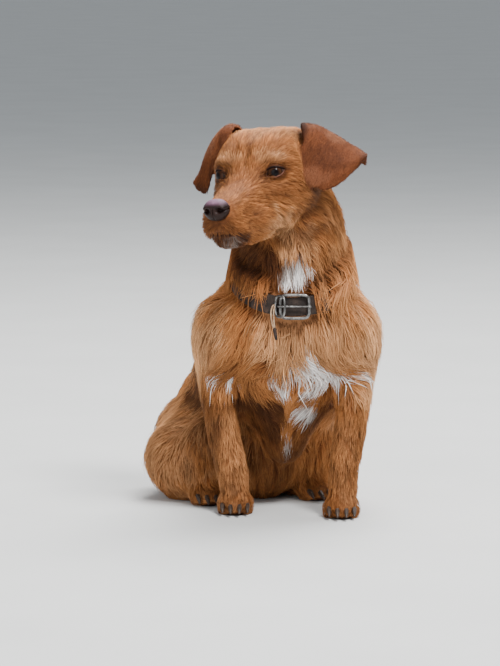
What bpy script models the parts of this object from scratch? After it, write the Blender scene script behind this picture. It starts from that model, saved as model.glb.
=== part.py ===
"""A rough-coated terrier cross sitting with its head turned to its right, life size, as a still model.

Frame: metres, +Z up, the chest faces -Y, the dog's left side is +X, and the origin lies on the floor
under the middle of the whole model.  The flesh is modelled whole, out to the tips of the coat, from
lofts and ellipsoids melted into one skin, and is then parted with thin cuts into head, jaw, neck,
trunk, tail, legs and paws.  Ears, eyes, nose, claws and the collar's pieces are solids of their own.
"""

import math

import bmesh
import bpy
from mathutils import Euler, Matrix, Vector

MM = 0.001                      # every size below is in millimetres until it is made

# ---------------------------------------------------------------- driving sizes

CUT_GAP = 0.4                   # air between two parts of the body
FIT_GAP = 0.35                  # air round a piece that sits in or on another
SKIN_VOXEL = 2.4                # fineness at which the masses melt together
TRUNK_SMOOTHING = 70            # rounds of smoothing where trunk, neck and thighs flow together
LIMB_SMOOTHING = 12
SKULL_SMOOTHING = 18
SKIN_SMOOTHING = 5              # rounds over the whole skin, which keep the toes apart
FLESH_TRIANGLES = 2700          # of the whole body before it is parted

HEAD_AT = (-41.5, -65, 344)   # midway between the two corneas
HEAD_YAW = 28                   # degrees that the face turns to the dog's right
HEAD_ROLL = 5                   # degrees that the left eye stands higher
HEAD_PITCH = 1                  # degrees that the muzzle points down

EYE_AT = (27, 8.5, 0)           # centre of the left eyeball, in the head's frame
EYE_RADIUS = 10.5
LID_OPENING = ((29, -4, -0.5), (10, 9, 6))      # the hollow in front of the left eye
NOSE_AT = (0, -67, -28.5)
NOSE_RADII = (13.5, 10, 10.5)
MOUTH_FRONT = (0, -72, -50)     # where the cut between head and lower jaw begins
MOUTH_DROP = 13                 # degrees that the cut falls towards the corners of the mouth
JAW_LENGTH = 76                 # how far back the cut runs

PAW_FORWARD = {1: 24, -1: 0}    # how far each forepaw is set forward, the left one more
WRIST_HEIGHT = 34               # of the cut between foreleg and paw
LEG_LINES = {                    # distance from the middle and half width of each foreleg, downwards
    1: [(60, 21), (66, 29), (64.5, 23), (65, 17.5), (60.5, 16.5), (56, 15.5), (54.5, 15), (54, 14.5)],
    -1: [(60, 21), (67, 29), (68, 23.5), (68, 18), (64, 16.8), (57.5, 16.5), (54, 15.5), (53, 14.5)]}
TOES = ((-12.4, 3), (-4.4, -4), (4.4, -4), (12.4, 3))   # across and back of each toe's middle
TOE_RADII = (6.3, 14, 9.8)
TOE_HEIGHT = 8.8

PELVIS_AT = (-53, 150)          # on the floor plan; the loins curve to the dog's right
PELVIS_YAW = 17                 # degrees that the hindquarters turn against the chest

COLLAR_AT = (4, 0, 243)
COLLAR_TILT = 26.6              # degrees that the throat side hangs lower
COLLAR_HALF_WIDTH = 60
COLLAR_HALF_DEPTH = 67
STRAP_WIDTH = 19
STRAP_THICKNESS = 3.2
STRAP_DOUBLING = 2.4            # extra thickness where the strap's end lies over it
DOUBLED = (-38, 52)             # reach of the doubling along the strap from the buckle's middle
STRAP_FLARE = 0.2               # how much the strap opens downwards with the neck
BUCKLE_HALF_SIZE = (14.2, 11.4)
BUCKLE_WIRE = 1.6               # radius, as the other wires'
PRONG_WIRE = 1.1
RING_HALF_SIZE = (7, 10.5)
RING_WIRE = 1.1
RING_SWING = 50                 # degrees that the ring stands out from the strap

# ---------------------------------------------------------------- materials

COAT_RED = ("coat_red", (0.47, 0.17, 0.065), 0.85, 0.0)
EAR_VELVET = ("ear_velvet", (0.33, 0.10, 0.045), 0.8, 0.0)
NOSE_LEATHER = ("nose_leather", (0.12, 0.05, 0.05), 0.35, 0.0)
EYE_BROWN = ("eye_brown", (0.06, 0.022, 0.01), 0.08, 0.0)
CLAW_HORN = ("claw_horn", (0.09, 0.06, 0.045), 0.4, 0.0)
STRAP_LEATHER = ("strap_leather", (0.10, 0.065, 0.045), 0.7, 0.0)
BUCKLE_STEEL = ("buckle_steel", (0.42, 0.41, 0.40), 0.35, 1.0)


def material(finish):
    """The Principled material of a (name, colour, roughness, metallic) finish, made once."""
    name, colour, roughness, metallic = finish
    made = bpy.data.materials.get(name)
    if made is None:
        made = bpy.data.materials.new(name)
        made.use_nodes = True
        shader = made.node_tree.nodes["Principled BSDF"]
        shader.inputs["Base Color"].default_value = (*colour, 1)
        shader.inputs["Roughness"].default_value = roughness
        shader.inputs["Metallic"].default_value = metallic
    return made


# ---------------------------------------------------------------- mesh helpers

def add_object(name, mesh, finish=None):
    """Links a mesh to the scene as a named object."""
    made = bpy.data.objects.new(name, mesh)
    bpy.context.scene.collection.objects.link(made)
    if finish:
        mesh.materials.clear()
        mesh.materials.append(material(finish))
    return made


def object_from_bmesh(name, bm, finish=None):
    """Turns a bmesh in millimetres into an object in metres."""
    bmesh.ops.recalc_face_normals(bm, faces=bm.faces)
    if bm.calc_volume(signed=True) < 0:
        bmesh.ops.reverse_faces(bm, faces=bm.faces)
    bm.transform(Matrix.Scale(MM, 4))
    mesh = bpy.data.meshes.new(name)
    bm.to_mesh(mesh)
    bm.free()
    return add_object(name, mesh, finish)


def apply_modifiers(obj):
    """Replaces an object's mesh by what its modifiers make of it."""
    bpy.context.view_layer.update()
    graph = bpy.context.evaluated_depsgraph_get()
    mesh = bpy.data.meshes.new_from_object(obj.evaluated_get(graph))
    obj.modifiers.clear()
    obj.data = mesh
    return obj


def copy_of(obj, name):
    """A second object with its own copy of the mesh."""
    return add_object(name, obj.data.copy())


def remove(*objects):
    for obj in objects:
        bpy.data.objects.remove(obj)


def boolean(obj, cutter, operation):
    """Cuts, joins or intersects an object with another and applies it."""
    modifier = obj.modifiers.new(operation, "BOOLEAN")
    modifier.object = cutter
    modifier.operation = operation
    modifier.solver = "EXACT"
    return apply_modifiers(obj)


def grown(obj, by):
    """A copy of an object with its surface moved out by some millimetres."""
    bigger = copy_of(obj, obj.name + "_grown")
    displace = bigger.modifiers.new("grow", "DISPLACE")
    displace.mid_level = 0
    displace.strength = by * MM
    return apply_modifiers(bigger)


def carve(obj, tool, gap=FIT_GAP):
    """Takes a tool's shape and a gap round it out of an object, and keeps the tool."""
    cutter = grown(tool, gap)
    boolean(obj, cutter, "DIFFERENCE")
    remove(cutter)


def catmull_rom(points, per_span):
    """A smooth curve through rows of numbers, each row a point and its sizes."""
    rows = [Vector(p) for p in points]
    rows = [2 * rows[0] - rows[1], *rows, 2 * rows[-1] - rows[-2]]
    curve = []
    for a, b, c, d in zip(rows, rows[1:], rows[2:], rows[3:]):
        for step in range(per_span):
            t = step / per_span
            curve.append(0.5 * (2 * b + (c - a) * t + (2 * a - 5 * b + 4 * c - d) * t * t
                                + (3 * b - a - 3 * c + d) * t ** 3))
    curve.append(rows[-2])
    return curve


def ring(bm, centre, across, along, sides, squareness=2):
    """A closed ring of vertices on a superellipse with the two given half axes; 2 is an ellipse."""
    def bent(value):
        return math.copysign(abs(value) ** (2 / squareness), value)

    return [bm.verts.new(centre + across * bent(math.cos(turn)) + along * bent(math.sin(turn)))
            for turn in (2 * math.pi * k / sides for k in range(sides))]


def bridge(bm, rings):
    """Joins rings of equal length by quads and closes both ends with flat caps."""
    for low, high in zip(rings, rings[1:]):
        count = len(low)
        for k in range(count):
            bm.faces.new((low[k], low[(k + 1) % count], high[(k + 1) % count], high[k]))
    bm.faces.new(rings[0][::-1])
    bm.faces.new(rings[-1])


def loft(stations, place=Matrix.Identity(4), sides=20, per_span=4, side_axis=(1, 0, 0), squareness=2,
         facing=None):
    """A closed limb of elliptical rings square to a smooth path, or all square to the axis facing.

    Each station is (x, y, z, half width, half depth); the width lies along side_axis."""
    rows = catmull_rom([Vector(s) for s in stations], per_span)
    bm = bmesh.new()
    rings = []
    for k, row in enumerate(rows):
        before, after = rows[max(k - 1, 0)], rows[min(k + 1, len(rows) - 1)]
        heading = Vector(facing) if facing else Vector(after[:3]) - Vector(before[:3])
        heading.normalize()
        across = Vector(side_axis) - heading * heading.dot(Vector(side_axis))
        across.normalize()
        depth = heading.cross(across)
        rings.append(ring(bm, Vector(row[:3]), across * row[3], depth * row[4], sides, squareness))
    bridge(bm, rings)
    bm.transform(place)
    return object_from_bmesh("mass", bm)


def ellipsoid(centre, radii, place=Matrix.Identity(4), turned=(0, 0, 0), finish=None, name="mass",
              rings=14):
    """An ellipsoid with half axes radii, turned by Euler angles in degrees, in the frame place."""
    bm = bmesh.new()
    bmesh.ops.create_uvsphere(bm, u_segments=2 * rings, v_segments=rings, radius=1)
    turn = Euler([math.radians(angle) for angle in turned]).to_matrix().to_4x4()
    bm.transform(place @ Matrix.Translation(centre) @ turn @ Matrix.Diagonal((*radii, 1)))
    return object_from_bmesh(name, bm, finish)


def box(low, high, place=Matrix.Identity(4)):
    """A box between two corners in the frame place, for cutting."""
    bm = bmesh.new()
    bmesh.ops.create_cube(bm, size=1)
    size = [h - l for l, h in zip(low, high)]
    middle = [(h + l) / 2 for l, h in zip(low, high)]
    bm.transform(place @ Matrix.Translation(middle) @ Matrix.Diagonal((*size, 1)))
    return object_from_bmesh("region", bm)


def joined(objects, name):
    """One object that holds the meshes of several, which are removed."""
    bm = bmesh.new()
    for obj in objects:
        bm.from_mesh(obj.data)
    mesh = bpy.data.meshes.new(name)
    bm.to_mesh(mesh)
    bm.free()
    remove(*objects)
    return add_object(name, mesh)


def keep_largest(obj):
    """Drops every loose crumb that a cut left behind, and keeps the largest body."""
    bm = bmesh.new()
    bm.from_mesh(obj.data)
    bmesh.ops.dissolve_degenerate(bm, edges=bm.edges, dist=1e-6)
    unseen, bodies = set(bm.verts), []
    while unseen:
        body, edge = set(), [unseen.pop()]
        while edge:
            vert = edge.pop()
            body.add(vert)
            near = {e.other_vert(vert) for e in vert.link_edges} & unseen
            unseen -= near
            edge.extend(near)
        bodies.append(body)
    bodies.sort(key=len)
    bmesh.ops.delete(bm, geom=[vert for body in bodies[:-1] for vert in body], context="VERTS")
    bm.to_mesh(obj.data)
    bm.free()
    return obj


def dressed(obj, name, finish):
    """Names an object and gives it a finish."""
    obj.name = name
    obj.data.materials.clear()
    obj.data.materials.append(material(finish))
    return obj


def mirrored(point, side):
    """A point of the left side, or its mirror image when side is -1."""
    return (point[0] * side, *point[1:])


# ---------------------------------------------------------------- frames of the head and the pelvis

def head_frame():
    """The head's frame: x to the dog's left, y backwards, z up, origin midway between the eyes."""
    yaw = Matrix.Rotation(math.radians(-HEAD_YAW), 4, "Z")
    roll = Matrix.Rotation(math.radians(-HEAD_ROLL), 4, "Y")
    pitch = Matrix.Rotation(math.radians(HEAD_PITCH), 4, "X")
    return Matrix.Translation(HEAD_AT) @ yaw @ roll @ pitch


def pelvis_frame():
    """The pelvis's frame on the floor: x to its left, y backwards."""
    return Matrix.Translation((*PELVIS_AT, 0)) @ Matrix.Rotation(math.radians(PELVIS_YAW), 4, "Z")


# ---------------------------------------------------------------- the flesh, in masses

def head_masses(head):
    """Skull and muzzle in one, brows, cheekbones, cheeks, lips and lower jaw."""
    masses = [
        loft([(0, 98, 5, 18, 16), (0, 89, 2, 37, 33), (0, 70, -2, 47.5, 44), (0, 48, -3, 51.5, 47.5),
              (0, 28, -4, 49.5, 45.5), (0, 14, -6, 43.5, 38.5), (0, 4, -11, 37, 30.5), (0, -5, -18, 31.5, 24.5),
              (0, -16, -26, 27.5, 22), (0, -32, -32, 25, 21), (0, -48, -36.5, 23.5, 20),
              (0, -60, -38, 21, 18), (0, -68, -37.5, 14, 13)],
             head, sides=28, squareness=2.45, facing=(0, -1, 0)),
        loft([(0, 62, -40, 32, 24), (0, 34, -45, 32, 20), (0, 4, -52, 25, 15), (0, -24, -57, 21.5, 12),
              (0, -44, -58.5, 19.5, 11), (0, -58, -58.5, 16, 9.5)], head, squareness=2.4),
        ellipsoid((0, 60, -28), (42, 34, 33), head),
        ellipsoid((0, 26, -42), (31, 40, 24), head),
    ]
    for side in (1, -1):
        masses += [
            ellipsoid(mirrored((22, 15, 9), side), (18, 15, 13), head, (0, 0, -20 * side)),
            ellipsoid(mirrored((31, 46, -20), side), (22, 34, 28), head, (0, 0, 8 * side)),
            ellipsoid(mirrored((28, 20, -18), side), (16, 26, 13), head, (0, 0, 12 * side)),
            ellipsoid(mirrored((12.5, -45, -47), side), (14, 21.5, 13.5), head),
            ellipsoid(mirrored((20, -4, -43), side), (14, 35, 18), head, (0, 0, 14 * side)),
            ellipsoid(mirrored((27, 24, -36), side), (16, 28, 20), head, (0, 0, 10 * side)),
        ]
    return masses


def neck_and_trunk_masses():
    """Neck, chest with its keel, shoulders, back, loins, belly and rump."""
    masses = [
        loft([(2, 24, 192, 66, 74), (4, 15, 214, 64, 72), (4, 9, 236, 60, 66), (4, 4, 258, 57.5, 58),
              (4, 0, 282, 54.5, 51.5), (2.5, -3, 306, 51.5, 47), (-1, -6, 328, 45.5, 40), (-8, -8, 346, 30, 28)],
             facing=(0, 0, 1)),
        loft([(1, 2, 246, 34, 34), (0, 11, 220, 72, 60), (0, 24, 188, 87, 77), (-4, 48, 156, 88, 79),
              (-14, 80, 127, 84, 72), (-27, 114, 101, 77, 65), (-41, 146, 80, 78, 60), (-51, 174, 60, 60, 49),
              (-56, 192, 48, 38, 33)]),
        ellipsoid((1, -15, 192), (66, 47, 52)),
        loft([(0, 2, 176, 60, 56), (0, 4, 142, 52, 52), (-2, 13, 110, 41, 44), (-3, 22, 86, 32, 36),
              (-3, 28, 64, 24, 27), (-3, 33, 44, 14, 16)], facing=(0, 0, 1)),
        ellipsoid((-52, 170, 31), (52, 38, 34)),
        ellipsoid((-28, 92, 44), (56, 54, 44)),
    ]
    for side in (1, -1):
        masses += [ellipsoid(((60 if side > 0 else 63) * side, 4, 174.5), (36, 48, 48), turned=(-12, 0, 0))]
    return masses


def thigh_masses(side, pelvis):
    """Thigh and shank folded under the body, spread low and wide on the floor."""
    return [
        ellipsoid((45 * side, -38, 57), (38, 58, 49), pelvis, (10, 8 * side, 0)),
        ellipsoid((61 * side, -46, 41), (50, 56, 45), pelvis, (-4, 0, 4 * side)),
        ellipsoid((47 * side, -6, 57), (41, 54, 45), pelvis),
        ellipsoid((55 * side, -78, 58), (27, 31, 33), pelvis, (0, 0, 10 * side)),
    ]


def foreleg_masses(side, forward):
    """Upper arm, forearm, wrist and the pad of the paw; forward moves the paw towards -Y."""
    y = -forward
    depths = [(6, 203, 33), (5, 172, 43), (7 + 0.3 * y, 138, 32), (3 + 0.6 * y, 104, 24),
              (-1 + 0.8 * y, 76, 20.5), (-5 + y, 50, 17.5), (-8 + y, 28, 16.5), (-10 + y, 12, 15)]
    return [
        loft([(across * side, back, height, half, deep)
              for (across, half), (back, height, deep) in zip(LEG_LINES[side], depths)]),
        ellipsoid((53 * side, -12 + y, 12.5), (16.5, 20, 13.5)),
    ]


def hindfoot_masses(foot):
    """The long hind foot flat on the floor, from the hock to the pad."""
    return [loft([(0, 92, 17, 15, 15), (0, 62, 13.5, 15, 14.5), (0, 32, 12, 16, 13.5), (0, 10, 12, 17, 13.5),
                  (0, 0, 11, 12, 9)], foot)]


def forepaw_frame(side):
    """The frame of a forepaw's toes."""
    return Matrix.Translation((53 * side, -20 - PAW_FORWARD[side], 0))


def hindpaw_frame(side, pelvis):
    """The frame of a hind foot's toes: the feet lie flat and point a little outwards."""
    return pelvis @ Matrix.Translation((58 * side, -98, 0)) @ Matrix.Rotation(math.radians(7 * side), 4, "Z")


def toe_masses(place):
    """Four toes side by side, the middle two further forward."""
    return [ellipsoid((x, y, TOE_HEIGHT), TOE_RADII, place, (8, 0, -1.2 * x)) for x, y in TOES]


# Along the tail: it lies on the floor behind the rump and curls round to the dog's left.
TAIL_PATH = [(-55, 176, 52, 22, 19), (-59, 197, 35, 18, 17), (-56, 210, 21, 15.5, 15),
             (-38, 220, 13.6, 13.8, 14), (-8, 225, 11.4, 12.8, 13), (22, 222, 10.4, 11.4, 12),
             (46, 211, 9.2, 9.2, 10.4), (62, 199, 8, 4.8, 6.4)]


def melted(masses, name, smoothing):
    """Masses melted into one closed skin and smoothed a number of rounds."""
    made = joined(masses, name)
    melt = made.modifiers.new("melt", "REMESH")
    melt.mode = "VOXEL"
    melt.voxel_size = SKIN_VOXEL * MM
    soften = made.modifiers.new("soften", "SMOOTH")
    soften.factor = 0.5
    soften.iterations = smoothing
    return apply_modifiers(made)


def flesh(head, pelvis):
    """The whole body as one skin, melted from all its masses, with flats where it meets the floor."""
    trunk, limbs, toes = neck_and_trunk_masses(), [], []
    for side in (1, -1):
        foot = hindpaw_frame(side, pelvis)
        trunk += thigh_masses(side, pelvis)
        limbs += foreleg_masses(side, PAW_FORWARD[side]) + hindfoot_masses(foot)
        toes += toe_masses(forepaw_frame(side)) + toe_masses(foot)
    limbs.append(loft(TAIL_PATH, side_axis=(0, 0, 1)))
    body = melted([melted(trunk, "trunk", TRUNK_SMOOTHING), *limbs], "body", LIMB_SMOOTHING)
    skull = melted(head_masses(head), "skull", SKULL_SMOOTHING)
    body = melted([body, skull, *toes], "flesh", SKIN_SMOOTHING)
    thin_out(body, FLESH_TRIANGLES)
    ground = box((-400, -400, -100), (400, 400, 0))
    boolean(body, ground, "DIFFERENCE")
    remove(ground)
    return body


def thin_out(obj, triangles):
    """Decimates a mesh to about so many triangles, where it is flattest first."""
    obj.data.calc_loop_triangles()
    decimate = obj.modifiers.new("thin", "DECIMATE")
    decimate.ratio = triangles / len(obj.data.loop_triangles)
    decimate.use_collapse_triangulate = True
    apply_modifiers(obj)


# ---------------------------------------------------------------- pieces of their own

# Each ear is a sheet drawn along three lines that run outwards from the crown: where it grows on the
# skull, its fold, and its free edge, which hangs forwards and down.
LEFT_EAR = {
    "root": [(37, 59, 36), (40, 70, 28), (46, 80, 16), (59, 85, 9), (74, 88, 4), (87, 88, -4)],
    "fold": [(38, 50, 43), (51, 58, 41), (62, 66, 33), (74.5, 73, 22.5), (85.5, 78, 13.5), (93, 80, 6)],
    "edge": [(43, 39, 40), (48.5, 31, 21), (49, 29, -6), (62, 41, -24), (79.5, 58, -14), (94, 74, 2.5)],
    "swell": (3, -4, 2),
}
RIGHT_EAR = {
    "root": [(-30, 57, 40), (-41, 69, 31), (-50, 77, 17), (-63, 79, 5), (-73, 73, -1), (-81, 59, -6)],
    "fold": [(-31, 59, 43.5), (-46, 60, 47), (-61, 62, 37), (-72, 60, 22), (-77.5, 57, 7), (-82, 50, -5)],
    "edge": [(-32, 43, 43), (-42, 33, 28.5), (-50, 28, 12), (-55, 27, -5), (-64, 31, -19), (-79, 41, -16)],
    "swell": (-3, -4, 2),
}
EAR_THICKNESS = 4.6


def ear(lines, head, name):
    """A folded ear leaf of even thickness, thinner along its free edge."""
    root, fold, edge = ([Vector(p) for p in catmull_rom(lines[key], 2)] for key in ("root", "fold", "edge"))
    swell = Vector(lines["swell"])
    bm = bmesh.new()
    rings = []
    for low, top, free in zip(root, fold, edge):
        across = catmull_rom([low, low.lerp(top, 0.6) + swell * 0.3, top,
                              top.lerp(free, 0.45) + swell, free], 2)
        outer, inner = [], []
        for k, point in enumerate(across):
            tangent = across[min(k + 1, len(across) - 1)] - across[max(k - 1, 0)]
            along = edge[-1] - edge[0] if len(rings) == 0 else fold[len(rings)] - fold[len(rings) - 1]
            normal = tangent.cross(along).normalized()
            half = EAR_THICKNESS / 2 * (0.45 if k in (0, len(across) - 1) else 1)
            outer.append(bm.verts.new(point + normal * half))
            inner.append(bm.verts.new(point - normal * half))
        rings.append(outer + inner[::-1])
    bridge(bm, rings)
    bmesh.ops.triangulate(bm, faces=bm.faces)
    bm.transform(head)
    return object_from_bmesh(name, bm, EAR_VELVET)


def claw(place, toe, paw, name):
    """A short curved claw out of a toe's tip, cut back to where it leaves the coat of the paw."""
    x, y = toe
    tip = y - TOE_RADII[1]
    horn = loft([(x, tip + 6, 10.5, 2.5, 3.0), (x, tip + 1, 9.6, 2.4, 2.9), (x, tip - 4, 7.2, 1.9, 2.3),
                 (x, tip - 7.5, 4.2, 0.7, 0.9)], place, sides=6, per_span=1)
    carve(horn, paw)
    return dressed(keep_largest(horn), name, CLAW_HORN)


def strap_point(turn):
    """Centre, outward direction and width direction of the strap at an angle round the neck."""
    x, y, z = COLLAR_AT
    tilt = math.radians(COLLAR_TILT)
    lean = COLLAR_HALF_DEPTH * math.sin(turn)
    centre = Vector((x + COLLAR_HALF_WIDTH * math.cos(turn), y + lean * math.cos(tilt),
                     z + lean * math.sin(tilt)))
    flat = Vector((math.cos(turn) / COLLAR_HALF_WIDTH, math.sin(turn) / COLLAR_HALF_DEPTH, 0)).normalized()
    width = (Vector((0, -0.08, 1)) - flat * STRAP_FLARE).normalized()
    outward = (flat - width * flat.dot(width)).normalized()
    return centre, outward, width


def strap_loop(name, low, high, half_width, doubling=0.0, squareness=5):
    """A closed band round the neck between two depths measured outwards from the strap's middle.

    Over the doubled stretch at the throat the band is thicker by doubling."""
    bm = bmesh.new()
    rings = []
    count = 36
    for k in range(count):
        turn = 2 * math.pi * k / count
        centre, outward, width = strap_point(turn)
        reach = COLLAR_HALF_WIDTH * math.sin(turn + math.pi / 2)
        doubled = math.sin(turn) < 0 and DOUBLED[0] < reach < DOUBLED[1]
        top = high + (doubling if doubled else 0)
        rings.append(ring(bm, centre + outward * (low + top) / 2, outward * (top - low) / 2,
                          width * half_width, 8, squareness))
    for low_ring, high_ring in zip(rings, rings[1:] + rings[:1]):
        for j in range(8):
            bm.faces.new((low_ring[j], low_ring[(j + 1) % 8], high_ring[(j + 1) % 8], high_ring[j]))
    return object_from_bmesh(name, bm, STRAP_LEATHER)


def hoop(name, half_size, wire, place, squareness, finish, count=20, sides=6):
    """A closed hoop of round wire in the x-z plane of a frame, between a circle and a rectangle."""
    def corner(k):
        turn = 2 * math.pi * k / count
        c, s = math.cos(turn), math.sin(turn)
        return Vector((half_size[0] * math.copysign(abs(c) ** (2 / squareness), c), 0,
                       half_size[1] * math.copysign(abs(s) ** (2 / squareness), s)))

    bm = bmesh.new()
    rings = []
    for k in range(count):
        heading = (corner(k + 1) - corner(k - 1)).normalized()
        side = heading.cross(Vector((0, 1, 0)))
        rings.append(ring(bm, corner(k), side * wire, Vector((0, wire, 0)), sides))
    for low, high in zip(rings, rings[1:] + rings[:1]):
        for j in range(sides):
            bm.faces.new((low[j], low[(j + 1) % sides], high[(j + 1) % sides], high[j]))
    bm.transform(place)
    return object_from_bmesh(name, bm, finish)


def strap_frame(reach):
    """A frame on the strap so far to the left of the throat: x along it, y inwards, z up its width."""
    centre, outward, width = strap_point(math.asin(reach / COLLAR_HALF_WIDTH) - math.pi / 2)
    along = width.cross(outward)
    return Matrix.Translation(centre) @ Matrix((along, -outward, width)).transposed().to_4x4()


def collar(neck):
    """The strap in a groove round the neck, with its buckle, prong, keeper, lead ring and a thong."""
    half = STRAP_THICKNESS / 2
    groove = strap_loop("groove", -half - FIT_GAP, 16, STRAP_WIDTH / 2 + FIT_GAP, squareness=40)
    boolean(neck, groove, "DIFFERENCE")
    remove(groove)
    keep_largest(neck)
    strap_loop("collar_strap", -half, half, STRAP_WIDTH / 2, STRAP_DOUBLING)

    throat = strap_frame(0)
    top = -(half + STRAP_DOUBLING + FIT_GAP)            # depths outwards are negative in this frame
    bar = top - BUCKLE_WIRE
    hoop("collar_buckle", BUCKLE_HALF_SIZE, BUCKLE_WIRE, throat @ Matrix.Translation((2, bar, 0)), 5,
         BUCKLE_STEEL, 24)
    lift = bar - BUCKLE_WIRE - FIT_GAP - PRONG_WIRE
    prong = loft([(-14.5, lift, 0, 1.3, PRONG_WIRE), (2, lift + 0.6, 0, 1.2, PRONG_WIRE),
                  (18, lift, 0, 0.9, 0.9)], throat, sides=6, per_span=1, side_axis=(0, 0, 1))
    dressed(prong, "collar_prong", BUCKLE_STEEL)
    keeper = box((-3, top - 2.6, -10.5), (3, top - 0.4, 10.5), strap_frame(30))
    dressed(keeper, "collar_keeper", STRAP_LEATHER)

    # The ring hinges just right of the buckle and stands out from the strap, its opening to the side.
    hinge = throat @ Matrix.Translation((-17, bar, 0)) @ Matrix.Rotation(math.radians(-RING_SWING), 4, "Z")
    hoop("collar_ring", RING_HALF_SIZE, RING_WIRE, hinge @ Matrix.Translation((RING_HALF_SIZE[0], 0, 0)), 3,
         BUCKLE_STEEL)
    hang = bar - 1.5
    thong = loft([(-20.5, hang, -1, 1.0, 1.0), (-20.5, hang, -8, 1.3, 1.3), (-19.5, hang, -15, 1.6, 1.4),
                  (-17.5, hang, -23, 2.4, 1.4), (-16, hang, -31, 1.8, 1.2)], throat, sides=8, per_span=1)
    dressed(thong, "collar_thong", STRAP_LEATHER)


# ---------------------------------------------------------------- parting the flesh

def part_off(body, name, low, high, place=Matrix.Identity(4)):
    """Parts off what lies in a box as a node of its own, a thin cut away from the rest."""
    half = CUT_GAP / 2
    inner = box([v + half for v in low], [v - half for v in high], place)
    outer = box([v - half for v in low], [v + half for v in high], place)
    piece = copy_of(body, name)
    boolean(piece, inner, "INTERSECT")
    boolean(body, outer, "DIFFERENCE")
    remove(inner, outer)
    keep_largest(body)
    return dressed(keep_largest(piece), name, COAT_RED)


def aimed(point, tilt, yaw=0):
    """A frame at a point whose z axis leans forward by tilt degrees after a turn by yaw."""
    return (Matrix.Translation(point) @ Matrix.Rotation(math.radians(yaw), 4, "Z")
            @ Matrix.Rotation(math.radians(tilt), 4, "X"))


WIDE = 500                      # reach of a cut that goes right across the body


def face_details(skull, head):
    """Eyes in their sockets, the nose, the lower jaw and both ears."""
    for name, side in (("left", 1), ("right", -1)):
        eye = ellipsoid(mirrored(EYE_AT, side), [EYE_RADIUS] * 3, head, (90, 0, 0), EYE_BROWN,
                        f"eye_{name}", 7)
        carve(skull, eye)
        centre, radii = LID_OPENING
        hollow = ellipsoid(mirrored(centre, side), radii, head, (0, 0, 24 * side), rings=7)
        boolean(skull, hollow, "DIFFERENCE")
        remove(hollow)
    nose = ellipsoid(NOSE_AT, NOSE_RADII, head, finish=NOSE_LEATHER, name="nose", rings=8)
    carve(skull, nose)
    keep_largest(skull)
    lips = head @ Matrix.Translation(MOUTH_FRONT) @ Matrix.Rotation(math.radians(-MOUTH_DROP), 4, "X")
    part_off(skull, "lower_jaw", (-60, -30, -60), (60, JAW_LENGTH, 0), lips)
    for name, lines in (("left", LEFT_EAR), ("right", RIGHT_EAR)):
        leaf = ear(lines, head, f"ear_{name}")
        carve(leaf, skull)
        keep_largest(leaf)


def part_legs(body, pelvis):
    """Parts off the four legs and their paws, and gives each paw its four claws."""
    for name, side in (("left", 1), ("right", -1)):
        span = sorted((38 * side, 130 * side))
        part_off(body, f"hindleg_{name}", (span[0], -126, -10), (span[1], 60, 114), pelvis)
    for name, side in (("left", 1), ("right", -1)):
        lean = Matrix.Translation((38 * side, 0, 75)) @ Matrix.Rotation(math.radians(6 * side), 4, "Y")
        span = sorted((0, 90 * side))
        leg = part_off(body, f"foreleg_{name}", (span[0], -110, -90), (span[1], 42, 78), lean)
        part_off(leg, f"forepaw_{name}", (-WIDE, -WIDE, -10), (WIDE, WIDE, WRIST_HEIGHT))
    for limb, place in (("fore", forepaw_frame), ("hind", lambda side: hindpaw_frame(side, pelvis))):
        for name, side in (("left", 1), ("right", -1)):
            paw = bpy.data.objects[f"forepaw_{name}" if limb == "fore" else f"hindleg_{name}"]
            for number, toe in enumerate(TOES, 1):
                claw(place(side), toe, paw, f"claw_{limb}_{name}_{number}")


def recentre(objects):
    """Moves all nodes together so that the origin lies on the floor under the middle of their box."""
    points = [vertex.co for obj in objects for vertex in obj.data.vertices]
    middle = [(min(p[axis] for p in points) + max(p[axis] for p in points)) / 2 for axis in (0, 1)]
    shift = Matrix.Translation((-middle[0], -middle[1], 0))
    for obj in objects:
        obj.data.transform(shift)


def main():
    for obj in list(bpy.data.objects):
        bpy.data.objects.remove(obj)
    head, pelvis = head_frame(), pelvis_frame()
    body = flesh(head, pelvis)

    skull = part_off(body, "head", (-WIDE, -WIDE, 0), (WIDE, WIDE, WIDE), aimed((-5, -4, 306), 38, -10))
    face_details(skull, head)
    neck = part_off(body, "neck", (-WIDE, -WIDE, 0), (WIDE, WIDE, WIDE), aimed((4, 18, 213), 18))
    collar(neck)
    part_off(body, "tail", (-90, 212, -10), (100, 300, 70))
    part_legs(body, pelvis)
    dressed(body, "trunk", COAT_RED)
    recentre(list(bpy.data.objects))


if __name__ == "__main__":
    main()
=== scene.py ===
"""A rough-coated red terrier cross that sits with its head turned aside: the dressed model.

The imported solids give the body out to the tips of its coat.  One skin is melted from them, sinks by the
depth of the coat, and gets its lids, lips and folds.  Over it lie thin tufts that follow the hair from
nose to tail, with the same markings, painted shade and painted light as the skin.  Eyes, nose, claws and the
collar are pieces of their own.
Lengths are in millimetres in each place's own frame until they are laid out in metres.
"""

import logging
import math
from dataclasses import dataclass
from enum import Enum
from typing import Optional, Sequence

import bmesh
import bpy
import numpy as np
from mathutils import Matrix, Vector
from mathutils.bvhtree import BVHTree


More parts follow.
